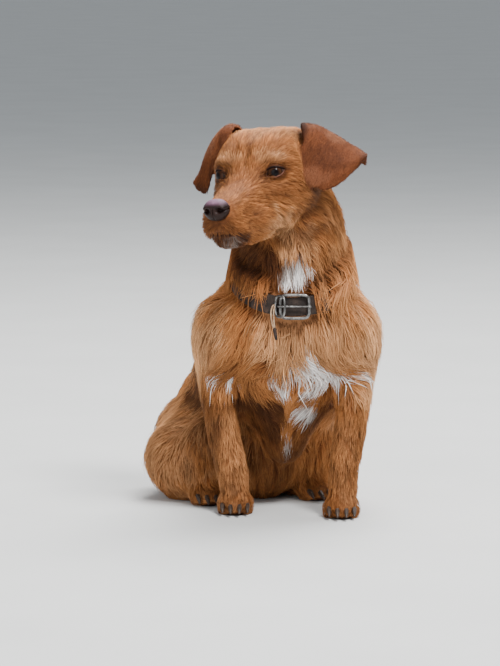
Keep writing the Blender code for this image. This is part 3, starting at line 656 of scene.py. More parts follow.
PATCHES = (
    *patches(Mark.WHITE, "body",
             ((5, -57, 253), (16, 18, 14), 1.0, 0.3), ((14, -50, 158), (12, 24, 12), 1.0, 0.2),
             ((16, -50, 172), (4, 24, 8), 0.9, 0.2), ((26, -44, 138), (10, 24, 8), 0.8, 0.3),
             ((30, -50, 150), (15, 30, 5), 1.0, 0.2), ((46, -44, 147), (16, 30, 4.2), 1.0, 0.25),
             ((63, -38, 142.5), (9, 30, 2.8), 0.9, 0.3), ((-58, -36, 144.5), (16, 24, 3.0), 0.75, 0.3),
             ((-6, -44, 141), (11, 20, 9), 0.7, 0.5), ((24, -18, 110), (8, 22, 9), 0.95, 0.35),
             ((0, -6, 74), (3.5, 30, 20), 0.6, 0.6)),
    *patches(Mark.WHITE, "head",
             ((6, -56, -62), (17, 12, 6), 0.5, 0.4)),
    # Darker hair round the mouth and chin; painted shade under the jaw, under both ears, in the crease before
    # the near ear and in the furrow of the forehead.
    *patches(Mark.SHADE, "head",
             ((4, -54, -61), (26, 18, 12), 0.88, 0.35), ((35, 46, 34), (6, 12, 15), 0.55, 0.3),
             ((0, -64, -46), (22, 16, 10), 0.55, 0.3), ((0, -54, -70), (20, 18, 7), 0.7, 0.3),
             ((0, 0, -86), (36, 52, 14), 0.92, 0.2), ((48, 40, -12), (15, 18, 21), 0.78, 0.35),
             ((-48, 36, -12), (13, 20, 24), 0.5, 0.35), ((0, 12, 24), (4, 24, 19), 0.5, 0.3)),
    # On the ears: painted shade in the hollow between the far ear's flap and the skull, under its curled tip
    # and in the crease at the near ear's root; the near ear darker in its middle and at its outer end.
    *patches(Mark.SHADE, "head",
             ((-42, 36, 26), (6, 12, 16), 0.5, 0.2), ((-52, 29, 4), (6, 10, 15), 0.5, 0.2),
             ((-72, 34, -16), (13, 12, 10), 0.5, 0.2), ((62, 50, 12), (21, 22, 13), 0.34, 0.5),
             ((43, 39, 38), (8, 9, 14), 0.85, 0.2), ((95, 75, -1), (8, 12, 12), 0.6, 0.3), on_ears=True),
    # On the ears: painted light along the near ear's fold and over the far ear, and a lighter patch low on
    # the near ear.
    *patches(Mark.FAWN_AND_LIGHT, "head",
             ((-60, 58, 30), (26, 22, 18), 0.7, 0.3), ((62, 70, 29), (30, 9, 9), 0.5, 0.4),
             ((56, 36, -8), (16, 14, 10), 0.35, 0.4), on_ears=True),
    # On both sides: darker hair round the eyes, on the brows, along the muzzle and on the cheeks, with
    # painted shade in the crease over the upper lid and behind the cheeks.
    *patches(Mark.SHADE, "head",
             ((26, -4, -1), (15, 11, 8), 0.42, 0.3), ((15, -3, 12), (9, 9, 5), 0.24, 0.4),
             ((25, 8, 25), (12, 14, 7), 0.22, 0.5), ((23, -44, -38), (12, 14, 11), 0.3, 0.6),
             ((50, 36, -34), (16, 19, 22), 0.6, 0.4), ((42, 20, -22), (18, 24, 20), 0.3, 0.6),
             ((30, -14, -22), (14, 18, 9), 0.22, 0.6), ((21, -8, -4), (8, 8, 5.5), 0.55, 0.3),
             ((27, 0, 7.5), (13, 9, 2.4), 0.5, 0.3), both=True),
    *patches(Mark.RUST, "head",
             ((0, -30, -6), (14, 36, 12), 0.14, 0.5)),
    # Painted light on the top of the head.
    *patches(Mark.FAWN_AND_LIGHT, "head",
             ((4, 44, 42), (30, 34, 16), 0.3, 0.6)),
    # Painted shade under the jaw and the head, in the hollow under the cape of the chest, between the
    # forelegs and on their inner sides, on the belly and on the flanks behind the elbows, in part darker hair
    # as well; the forelegs and feet a little darker.
    *patches(Mark.SHADE, "body",
             ((-44, -42, 269), (34, 40, 18), 0.85, 0.25), ((4, -44, 292), (30, 40, 10), 0.65, 0.3),
             ((50, -10, 282), (16, 30, 10), 0.35, 0.4), ((30, -22, 306), (26, 40, 22), 0.5, 0.5),
             ((-36, -18, 117), (26, 40, 13), 0.95, 0.25), ((-66, -10, 116), (18, 40, 9), 0.5, 0.4),
             ((-30, -14, 100), (24, 34, 32), 0.86, 0.25), ((-76, 0, 88), (12, 44, 34), 0.6, 0.35),
             ((62, -10, 84), (20, 40, 30), 0.25, 0.5), ((52, -24, 18), (26, 60, 22), 0.3, 0.4),
             ((-53, -12, 18), (26, 60, 22), 0.25, 0.4), ((40, -20, 118), (18, 36, 8), 0.15, 0.35),
             ((54, -20, 44), (20, 44, 26), 0.25, 0.5), ((34, -2, 90), (18, 28, 26), 0.6, 0.25),
             ((-78, 30, 118), (22, 34, 34), 0.62, 0.3), ((78, 44, 100), (20, 34, 34), 0.45, 0.3),
             ((0, 10, 44), (46, 44, 40), 0.6, 0.3), ((-38, 4, 70), (9, 24, 50), 0.5, 0.3),
             ((38, -6, 70), (9, 24, 50), 0.5, 0.3), ((-98, 42, 120), (24, 62, 32), 0.9, 0.5)),
    # Paler hair under the jaw, on the chest, haunches, back and legs; painted light on both shoulders, on the
    # top of the foreleg and on the neck on the dog's left.
    *patches(Mark.FAWN_AND_LIGHT, "body",
             ((2, -56, 277), (20, 30, 10), 0.7, 0.4), ((78, -20, 146), (20, 50, 24), 0.8, 0.4),
             ((0, -60, 196), (30, 50, 34), 0.8, 0.4), ((34, -56, 186), (30, 50, 34), 0.55, 0.4),
             ((86, 0, 190), (32, 60, 64), 0.9, 0.4), ((-90, 10, 196), (34, 70, 60), 1.0, 0.4),
             ((-118, 110, 70), (50, 110, 60), 0.5, 0.5), ((100, 110, 70), (50, 110, 60), 0.5, 0.5),
             ((0, 140, 160), (60, 60, 90), 0.3, 0.6), ((60, -10, 60), (24, 60, 60), 0.15, 0.5),
             ((-60, 0, 60), (24, 60, 60), 0.25, 0.5), ((60, -10, 262), (40, 60, 40), 0.3, 0.6)),
    # Paler hair on the sides of the muzzle; golden brows with painted light on their ridges.
    *patches(Mark.FAWN_AND_LIGHT, "head",
             ((24, 1, 15), (18, 12, 6), 0.5, 0.5), ((33, 2, -52), (20, 30, 15), 0.88, 0.6), both=True),
)


@dataclass(frozen=True)
class Fold:
    """A soft ridge, or a crease where push is negative, along a line through knots on the head."""

    knots: tuple
    push: float                  # millimetres out of the skin
    width: float
    both: bool = True

    REACH = 60                   # beyond which a fold changes nothing

    def shape(self, hide: "Hide") -> None:
        """Moves the skin out by push x exp(-(distance / width)^2)."""
        head = hide.anatomy.head.into(hide.points)
        path = spline(self.knots, 8)
        for side in (1, -1) if self.both else (1,):
            line = path * (side, 1, 1)
            rows = np.flatnonzero(np.linalg.norm(head - line.mean(0), axis=1) < self.REACH)
            gap = np.linalg.norm(head[rows, None] - line[None], axis=2).min(1)
            swell = self.push * bell(gap, self.width) * (1 - hide.ears[rows])
            hide.points[rows] += hide.normals[rows] * swell[:, None] * MM


FOLDS = (
    Fold(((0, 26, 40), (0, 60, 46)), -2.2, 15, False),
    Fold(((29, 40, 36), (31, 62, 34)), 2.8, 9),
    Fold(((11, -4, 12), (19, 0, 16), (28, 5, 15.5), (36, 13, 12), (42, 22, 7)), 1.8, 3.6),
    Fold(((16, -1, 8), (23, 1, 10), (31, 7, 9.5), (38, 15, 6)), -1.3, 2.0),
    Fold(((0, -2, 10), (0, 14, 25), (0, 32, 40)), -2.1, 3.6, False),
    Fold(((10, 4, 21), (17, 14, 27), (22, 28, 33)), -0.8, 2.6),
    Fold(((14, -14, 2), (17, -24, -8), (19, -36, -16)), 1.1, 4.2),
    Fold(((20, -6, -8), (28, -3, -10), (36, 5, -9)), -1.0, 2.4),
    Fold(((22, -30, -36), (30, -12, -44), (34, 6, -50)), 1.6, 5.5),
    Fold(((34, 2, -30), (42, 14, -38), (44, 24, -52)), -1.2, 3.6),
)


# ---------------------------------------------------------------- the skin

class Hide:
    """The one skin of the dog, and what it knows of the hair that grows on it."""

    VOXEL = 2.15
    SWELL = 0.3                  # that closes the thin cuts between the nodes
    ROUNDS = 26                  # of smoothing
    FINE = (((0, -36, -36), (30, 46, 44)), ((0, 0, -4), (52, 24, 24)))      # ellipsoids of muzzle and brows
    FINEST = 15.0                # how far round the eyes the faces are split once more
    ROUND_EARS = 5.0             # how far from an ear's box its share can reach
    SOLE_DEPTH = 0.3
    STRAND_PLACE = 0.30          # how far from root to tip the skin's colour is taken

    def __init__(self, anatomy: Anatomy) -> None:
        """Melts the nodes of flesh into one skin and works out its hair."""
        self.anatomy = anatomy
        self.object = self.melt()
        self.read()
        self.soften(self.ROUNDS)
        self.refine()
        self.soften(4)
        self.comb()
        self.sink()

    def melt(self) -> Piece:
        """One closed mesh of all flesh, from its nodes merged, swollen and remeshed."""
        bm = bmesh.new()
        for name in (*FLESH, *FILLERS):
            bm.from_mesh(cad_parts[name].data)
        bmesh.ops.remove_doubles(bm, verts=bm.verts, dist=WELD * MM)
        mesh = bpy.data.meshes.new("skin")
        bm.to_mesh(mesh)
        bm.free()
        made = bpy.data.objects.new("skin", mesh)
        bpy.context.scene.collection.objects.link(made)
        swell = made.modifiers.new("swell", "DISPLACE")
        swell.mid_level = 0
        swell.strength = self.SWELL * MM
        melt = made.modifiers.new("melt", "REMESH")
        melt.mode = "VOXEL"
        melt.voxel_size = self.VOXEL * MM
        bpy.context.view_layer.update()
        final = bpy.data.meshes.new_from_object(made.evaluated_get(bpy.context.evaluated_depsgraph_get()))
        made.modifiers.clear()
        made.data = final
        return made

    def read(self) -> None:
        """Reads points and neighbours from the mesh."""
        mesh = self.object.data
        flat = np.empty(len(mesh.vertices) * 3)
        mesh.vertices.foreach_get("co", flat)
        self.points = flat.reshape(-1, 3)
        edges = np.empty(len(mesh.edges) * 2, np.int32)
        mesh.edges.foreach_get("vertices", edges)
        self.near = neighbours(edges.reshape(-1, 2), len(self.points))

    def write(self) -> None:
        """Puts the points back into the mesh and reads its normals."""
        mesh = self.object.data
        mesh.vertices.foreach_set("co", self.points.astype(np.float32).ravel())
        mesh.update()
        flat = np.empty(len(mesh.vertices) * 3, np.float32)
        mesh.vertex_normals.foreach_get("vector", flat)
        self.normals = flat.reshape(-1, 3).astype(float)

    def soften(self, rounds: int) -> None:
        """Smooths out facets without loss of size: each round moves a point towards the mean of its
        neighbours and then away from it again, less on the ears and toes."""
        ears = self.ear_share()
        toes = 1 - ease(self.points[:, 2] / MM, 16, 26)
        give = 0.66 * (1 - 0.55 * ears) * (1 - 0.5 * toes)
        for _ in range(rounds):
            for share in (1.0, -1.02):
                self.points += (share * give)[:, None] * (self.points[self.near].mean(1) - self.points)
        self.write()

    def ear_share(self) -> Array:
        """One on the ears, nought elsewhere, from how near their nodes' faces lie."""
        share = np.zeros(len(self.points))
        for name in ("ear_left", "ear_right"):
            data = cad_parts[name].data
            spots = [v.co for v in data.vertices]
            tree = BVHTree.FromPolygons(spots, [tuple(f.vertices) for f in data.polygons])
            low, high = np.min(spots, 0) - self.ROUND_EARS * MM, np.max(spots, 0) + self.ROUND_EARS * MM
            inside = np.flatnonzero(((self.points > low) & (self.points < high)).all(1))
            gap = np.array([tree.find_nearest(point)[3] for point in self.points[inside]]) / MM
            share[inside] = np.maximum(share[inside], 1 - ease(gap, 1.6, 3.6))
        return share

    def refine(self) -> None:
        """Splits the edges round the muzzle and eyes, and those round the eyes once more."""
        for closer in (False, True):
            head = self.anatomy.head.into(self.points)
            if closer:
                chosen = np.any([np.linalg.norm(head - eye.front, axis=1) < self.FINEST for eye in EYES], 0)
            else:
                chosen = np.any([np.linalg.norm((head - at) / radii, axis=1) < 1
                                 for at, radii in self.FINE], 0)
                chosen &= self.ear_share() < 0.3
            bm = bmesh.new()
            bm.from_mesh(self.object.data)
            edges = [e for e in bm.edges if chosen[e.verts[0].index] and chosen[e.verts[1].index]]
            bmesh.ops.subdivide_edges(bm, edges=edges, cuts=1, use_grid_fill=True)
            bmesh.ops.triangulate(bm, faces=[f for f in bm.faces if len(f.verts) > 4])
            bm.to_mesh(self.object.data)
            bm.free()
            self.read()
            self.soften(2)

    def comb(self) -> None:
        """Works out lie, depth, length, crowding and coat of the hair at each point.

        Each line weighs (reach / (distance + 3)) to the fourth power.
        """
        count = len(self.points)
        total, flow, sums = np.zeros(count), np.zeros((count, 3)), np.zeros((count, 3))
        best, self.coat = np.zeros(count), np.zeros(count, int)
        self.ears = self.ear_share()
        for lie in LIES:
            place = self.anatomy.named(lie.place)
            near = place.into(self.points)
            for start, end, heading in lie.lines():
                start, run = np.array(start, float), np.subtract(end, start)
                t = np.clip((near - start) @ run / (run @ run), 0, 1)
                gap = np.linalg.norm(near - start - t[:, None] * run, axis=1)
                weight = (lie.reach / (gap + 3)) ** 4
                weight *= 1 + 30 * self.ears if lie.coat is Coat.EARS else 1 - 0.98 * self.ears
                total += weight
                flow += weight[:, None] * unit(place.turn(heading))
                sums += weight[:, None] * (lie.depth, lie.length, lie.crowd)
                ahead = weight > best
                best[ahead], self.coat[ahead] = weight[ahead], COATS.index(lie.coat)
        self.depth, self.length, self.crowd = (sums / total[:, None]).T
        for _ in range(8):
            flow = square(flow, self.normals)[self.near].mean(1)
        self.flow = square(flow, self.normals)

    def sink(self) -> None:
        """Sinks the skin by the depth of the coat, then gives it lids, lips and soles."""
        level = self.points[:, 2].copy()
        sole = (1 - ease(level / MM, 0.6, 5)) * ease(-self.normals[:, 2], 0.2, 0.7)
        sunk = self.depth * (1 - sole) + self.SOLE_DEPTH * sole
        for _ in range(6):
            sunk = sunk[self.near].mean(1)
        self.points -= self.normals * sunk[:, None] * MM
        self.points[:, 2] = np.maximum(self.points[:, 2], np.minimum(level, 0.2 * MM))
        give = 0.5 * (1 - self.ears)
        for _ in range(3):
            self.points += give[:, None] * (self.points[self.near].mean(1) - self.points)
        self.bare, self.kohl = np.zeros(len(self.points)), np.zeros(len(self.points))
        COLLAR.press(self)
        for form in (*FOLDS, MOUTH, NOSE, *EYES):
            form.shape(self)
        self.write()
        self.flow = square(self.flow, self.normals)
        self.bare = np.maximum(self.bare, sole)

    def strip(self, rows: Array, share: Array) -> None:
        """Bares some points of their hair at least by a share."""
        self.bare[rows] = np.maximum(self.bare[rows], share)

    def marks(self, points: Array, ears: Array) -> Array:
        """The marks at points of the skin, painted shade and painted light among them, a column for each
        kind.
        """
        found = np.zeros((len(points), len(Mark)))
        found[:, RUST] = 0.9 * ears
        for patch in PATCHES:
            column = patch.mark.value
            shown = patch.paint(points, self.anatomy) * (ears if patch.on_ears else 1 - ears)
            found[:, column] = np.maximum(found[:, column], shown)
        return found

    def dress(self, hair: Shader) -> None:
        """Gives the skin its marks and its material, and lets it stand for all nodes of flesh."""
        marks = self.marks(self.points, self.ears)
        marks[:, WHITE] *= 1 - self.bare
        marks[:, SHADE] = np.maximum(marks[:, SHADE], np.maximum(self.bare, self.kohl))
        count, mesh = len(self.points), self.object.data
        place = self.STRAND_PLACE + 0.25 * self.ears - 0.2 * self.bare
        tone = 0.45 + 0.12 * clouds(self.points, 0.01, 9)
        strand = np.column_stack([place, tone, np.zeros(count), np.ones(count)])
        colour_layer(self.object, "marks", marks)
        colour_layer(self.object, "strand", strand)
        mesh.polygons.foreach_set("use_smooth", np.ones(len(mesh.polygons), bool))
        hair.fit(self.object, "coat", *FLESH)
        LOG.info("skin: %d faces", len(mesh.polygons))

    def walk(self, point: Array, vertex: Array, stride: Array, veer: Array) -> tuple:
        """Lays paths of equal strides over the skin along the lie of the hair.

        Each stride goes along lie + veer x side, and then down to the plane of the nearest vertex.

        Args:
            point: Where each path starts.
            vertex: The vertex nearest to it.
            stride: Its stride in metres.
            veer: How far it turns aside, a column for each stride.

        Returns:
            Points and nearest vertices, one column for each step and the start.
        """
        points, vertices = [point], [vertex]
        rows = np.arange(len(point))
        for aside in veer.T:
            lie, up = self.flow[vertex], self.normals[vertex]
            heading = unit(lie + aside[:, None] * np.cross(up, lie))
            target = point + stride[:, None] * heading
            for _ in range(7):
                near = self.near[vertex]
                gap = ((self.points[near] - target[:, None]) ** 2).sum(2)
                vertex = near[rows, gap.argmin(1)]
            up = self.normals[vertex]
            point = target - up * dots(target - self.points[vertex], up)[:, None]
            points.append(point)
            vertices.append(vertex)
        return np.stack(points, 1), np.stack(vertices, 1)


# ---------------------------------------------------------------- the face

@dataclass
class Eye:
    """An eyeball in its lids: it looks along gaze, and the opening is an almond in the plane across it."""

    name: str
    side: int
    at: tuple = (27.0, 8.5, 0.0)
    radius: float = 10.1
    outward: float = 29.0        # degrees that it looks aside
    half_width: float = 11.7     # of the opening, round the ball
    upper: float = 6.2
    lower: float = 3.9
    tilt: float = 0.20           # rise of the outer corner
    lid: float = 0.8             # thickness of the lids

    LEAN = (0.30, -0.12)         # of the upper lid's top and the lower lid's bottom along the opening
    CREASE = (0.9, 4.2, 1.1)     # height of the fold over the eye, its distance from the opening, its width
    HOLD = 5.5                   # how far round the opening the skin lies on the ball
    KOHL = (4.6, 3.2)            # how far the dark edge reaches above and below
    SUNK = 2.0                   # of the skin behind the ball's surface within the opening
    CORNEA = (0.055, 0.55)       # how far it stands out of the ball, and its half angle
    RIMS = (0.95, 0.50)          # thickness of the upper and lower rim

    def __post_init__(self) -> None:
        """Works out the middle, gaze and front of the eye in the head's frame."""
        turn = math.radians(self.outward)
        self.centre = np.array([self.at[0] * self.side, *self.at[1:]])
        self.gaze = np.array([math.sin(turn) * self.side, -math.cos(turn), 0.0])
        self.out = np.array([math.cos(turn) * self.side, math.sin(turn), 0.0])     # towards the outer corner
        self.front = self.centre + self.gaze * self.radius

    def height(self, a: Array, upper: bool) -> Array:
        """Height of a lid's edge over the opening's long axis: (1 - (a / half width)^2) to a power,
        the upper lid highest towards the nose and the lower one lowest away from it."""
        share = np.clip(a / self.half_width, -1, 1)
        share = share + self.LEAN[0 if upper else 1] * (1 - share ** 2)
        bow = np.clip(1 - share ** 2, 0, 1)
        return self.upper * bow ** 0.7 if upper else -self.lower * bow ** 0.9

    def shape(self, hide: Hide) -> None:
        """Draws the skin over the eyeball, and in behind it within the opening."""
        head = hide.anatomy.head.into(hide.points)
        rel = head - self.centre
        away = np.linalg.norm(rel, axis=1)
        rows = np.flatnonzero(away < 30)
        rel, away = rel[rows], away[rows]
        way = rel / away[:, None]
        c = way @ self.gaze
        a = np.arctan2(way @ self.out, c) * self.radius
        b = np.arcsin(np.clip(way[:, 2], -1, 1)) * self.radius - self.tilt * a
        rise, drop = self.height(a, True), self.height(a, False)
        outside = np.maximum(b - rise, drop - b)
        outside = np.where(np.abs(a) > self.half_width, np.hypot(np.abs(a) - self.half_width, b), outside)
        facing = ease(c, -0.1, 0.25) * (1 - ease(away, self.radius + 2.5, self.radius + 7))
        over = np.maximum(away, self.radius + self.lid)
        height, gap, width = self.CREASE
        fold = height * bell(outside - gap, width) * (b > 0)
        hold = bell(np.maximum(outside, 0), self.HOLD) * facing
        wanted = over * (1 - hold) + (self.radius + self.lid) * hold - fold * facing
        open_ = (1 - ease(outside, -0.5, 0.25)) * facing
        wanted = wanted * (1 - open_) + (self.radius - self.SUNK) * open_
        wanted = np.where(away < 26, wanted, away) * facing + away * (1 - facing)
        blend = (1 - ease(away, 20, 28))[:, None]
        moved = self.centre + way * (wanted[:, None] * blend + away[:, None] * (1 - blend))
        hide.points[rows] = hide.anatomy.head.out(moved)
        hide.strip(rows, (1 - ease(outside, 0.3, 1.3)) * facing)
        kohl = 0.95 * bell(np.maximum(outside, 0), np.where(b > 0, *self.KOHL)) * facing
        hide.kohl[rows] = np.maximum(hide.kohl[rows], kohl)

    def rim_path(self, anatomy: Anatomy) -> Array:
        """The edge of the opening as a loop over the eyeball, with its upper half first."""
        turn = np.linspace(0, 2 * math.pi, 72, endpoint=False)
        a = np.cos(turn) * self.half_width
        b = np.where(turn < math.pi, self.height(a, True), self.height(a, False)) + self.tilt * a
        a, b = a[:, None] / self.radius, b[:, None] / self.radius
        way = (np.sin(a) * self.out + np.cos(a) * self.gaze) * np.cos(b) + np.sin(b) * UP
        return anatomy.head.out(self.centre + way * (self.radius + 0.5))

    def build(self, anatomy: Anatomy) -> None:
        """Makes eyeball and lid rims."""
        rows, columns = 48, 64
        polar, turn = globe(rows, columns, 1.3)
        bulge = 1 + self.CORNEA[0] * bell(polar, self.CORNEA[1], 4)
        way = (np.cos(polar)[..., None] * self.gaze + np.sin(polar)[..., None]
               * (np.cos(turn)[..., None] * self.out * self.side + np.sin(turn)[..., None] * UP))
        points = self.centre + way * (self.radius * bulge)[..., None]
        ball = make_mesh(f"eyeball_{self.name}", anatomy.head.out(points.reshape(-1, 3)),
                         [grid_faces(rows, columns, False, True)])
        polar_map = np.stack(np.broadcast_arrays(turn / (2 * math.pi), polar / math.pi), -1)
        uv_layer(ball, "iris", polar_map.reshape(-1, 2))
        mend(ball, True)
        EYE_SHADER.fit(ball, "eye", f"eye_{self.name}")
        path = self.rim_path(anatomy)
        turn = np.linspace(0, 2 * math.pi, len(path), endpoint=False)
        thick = np.where(turn < math.pi, *self.RIMS) * (0.5 + 0.5 * np.abs(np.sin(turn)) ** 0.5)
        sides = 8
        rim = tube(f"lid_rim_{self.name}", path, anatomy.head.turn(self.gaze), thick, sides, True)
        upper = np.repeat((turn < math.pi).astype(float), sides)[:, None]
        colour_layer(rim, "lid", np.repeat(upper, 4, 1))
        LID_SHADER.fit(rim, "nose_leather")


def eye_shader() -> Shader:
    """Dark brown iris with a darker edge and fibres, black pupil, and a brownish white round it."""
    made = Shader("wet_eye", 0.30, Coat_Weight=0.26, Coat_Roughness=0.03, Coat_IOR=1.3,
                  Specular_IOR_Level=0.05)
    split = made.add("ShaderNodeSeparateXYZ", {0: made.coordinates("iris")})
    fibres = made.noise(26, 3, (1.6, 0.4, 1), "iris")
    polar = made.math("MULTIPLY_ADD", fibres, 0.012, split.outputs[1])
    colour = made.ramp(polar, (0.0, (0.003, 0.002, 0.002)), (0.105, (0.004, 0.002, 0.002)),
                       (0.128, (0.020, 0.008, 0.004)), (0.20, (0.046, 0.017, 0.007)),
                       (0.255, (0.012, 0.005, 0.003)), (0.30, (0.05, 0.027, 0.021)),
                       (0.5, (0.16, 0.09, 0.075)))
    made.put("Base Color", colour)
    return made


def lid_shader() -> Shader:
    """Damp lid edges: nearly black above, rosy brown below."""
    made = Shader("lid_edge", 0.75, Specular_IOR_Level=0.06)
    mottle = made.noise(900, 2)
    dark = made.ramp(mottle, (0.3, (0.006, 0.003, 0.002)), (0.7, (0.014, 0.006, 0.005)))
    rosy = made.ramp(mottle, (0.3, (0.06, 0.024, 0.016)), (0.7, (0.19, 0.080, 0.055)))
    made.put("Base Color", made.mix(made.parts("lid")[0], rosy, dark))
    made.bump(mottle, 0.05)
    return made


@dataclass
class Mouth:
    """The line between the lips: its height in the head's frame runs through knots along the muzzle."""

    backs: tuple = (-80.0, -66.0, -58.0, -50.0, -42.0, -27.0, -12.0, 0.0, 10.0)
    heights: tuple = (-50.5, -51.5, -54.5, -58.0, -61.0, -65.5, -68.0, -68.5, -67.5)
    corner: float = 2.0
    depth: float = 1.9

    def shape(self, hide: Hide) -> None:
        """Sinks a groove along the line, draws the lower jaw in below it and rolls the lip over it."""
        head = hide.anatomy.head.into(hide.points)
        rows = np.flatnonzero((head[:, 1] < self.corner + 10) & (np.abs(head[:, 0]) < 45)
                              & (head[:, 2] < -40) & (head[:, 2] > -95))
        near = head[rows]
        off = near[:, 2] - np.interp(near[:, 1], self.backs, self.heights)
        fade = 1 - ease(near[:, 1], self.corner - 16, self.corner + 4)
        groove = self.depth * bell(off, 1.25)
        tuck = 1.5 * (1 - ease(off, -2.0, 0.2)) * ease(off, -14, -5) * ease(np.abs(near[:, 0]), 6, 14)
        roll = 0.7 * bell(off - 2.8, 1.8)
        move = (roll - groove - tuck) * fade
        hide.points[rows] += hide.normals[rows] * move[:, None] * MM
        hide.strip(rows, bell(off + 0.3, 1.7, 4) * fade)


@dataclass
class Nose:
    """The nose leather: an ellipsoid with a flat front, two comma-shaped nostrils and a cleft."""

    radii: tuple = (13.9, 10.9, 11.2)
    rows: int = 110
    columns: int = 128

    def shape(self, hide: Hide) -> None:
        """Draws the skin round the nose up to it, and keeps it and its hair out of the nostrils."""
        rel = (hide.anatomy.head.into(hide.points) - Anatomy.NOSE) / self.radii
        away = np.linalg.norm(rel, axis=1)
        rows = np.flatnonzero(away < 1.5)
        away = away[rows]
        way = rel[rows] / np.maximum(away, 1e-6)[:, None]
        inner = np.interp(away, (0.0, 0.9, 1.12, 1.5), (0.3, 0.72, 1.0, 1.5))
        hide.points[rows] = hide.anatomy.head.out(Anatomy.NOSE + way * inner[:, None] * self.radii)
        hide.strip(rows, 1 - ease(away, 1.04, 1.16))

    def build(self, anatomy: Anatomy) -> None:
        """Makes the nose: the ellipsoid's point moves back by the sum of pits and grooves."""
        polar, turn = globe(self.rows, self.columns, 0.85)
        way = np.stack(np.broadcast_arrays(np.sin(polar) * np.cos(turn), -np.cos(polar),
                                           np.sin(polar) * np.sin(turn)), -1)
        x, y, z = (way[..., k] * self.radii[k] for k in range(3))
        front, wide = ease(-way[..., 1], 0.0, 0.6), np.abs(x)
        y = y + 1.6 * front * bell(z + 1, 6)                        # flat front
        pit = 5.2 * np.exp(-(((wide - 6.3) / 2.7) ** 2 + ((z + 0.8) / 2.2) ** 2) ** 1.3)
        slit = 2.6 * ease(wide, 6.5, 9.0) * bell(z + 2.2 - 0.28 * (wide - 6), 1.05)
        cleft = 1.3 * bell(x, 0.75) * (1 - ease(z, -1, 4))
        wing = np.exp(-(((wide - 9.3) / 2.6) ** 2 + ((z - 1.6) / 2.6) ** 2))
        y = y + front * (pit + cleft) + slit * ease(-way[..., 1], -0.2, 0.3) - wing * front
        x = x + np.sign(x) * (wing - 0.8 * slit * (1 - front))
        z = z * (1 - 0.10 * ease(wide, 6, 13)) - 0.8 * bell(x, 7) * ease(z, 4, 9)
        points = np.stack([x, y, z], -1).reshape(-1, 3) + Anatomy.NOSE
        nose = make_mesh("nose_leather", anatomy.head.out(points),
                         [grid_faces(self.rows, self.columns, False, True)])
        # crest: painted sheen, the top of the nose lighter where the light falls on it
        crest = ease(way[..., 2], 0.25, 0.85) * (1 - 0.5 * ease(np.abs(way[..., 0]), 0.4, 0.9))
        colour_layer(nose, "crest", np.repeat(crest.reshape(-1, 1), 4, 1))
        mend(nose, True)
        NOSE_SHADER.fit(nose, "nose_leather", "nose")


def nose_shader() -> Shader:
    """Pebbled nose leather: nearly black, and mauve where the light falls on its crest."""
    made = Shader("nose_leather", 0.46, Coat_Weight=0.03, Coat_Roughness=0.3, Specular_IOR_Level=0.14)
    mottle = made.noise(160, 3)
    dark = made.ramp(mottle, (0.3, (0.0075, 0.0028, 0.0020)), (0.7, (0.020, 0.0085, 0.0065)))
    mauve = made.ramp(mottle, (0.3, (0.13, 0.068, 0.10)), (0.7, (0.23, 0.125, 0.18)))
    made.put("Base Color", made.mix(made.parts("crest")[0], dark, mauve))
    made.bump(made.cells(850), 0.22, 0.7)
    return made


# ---------------------------------------------------------------- the collar

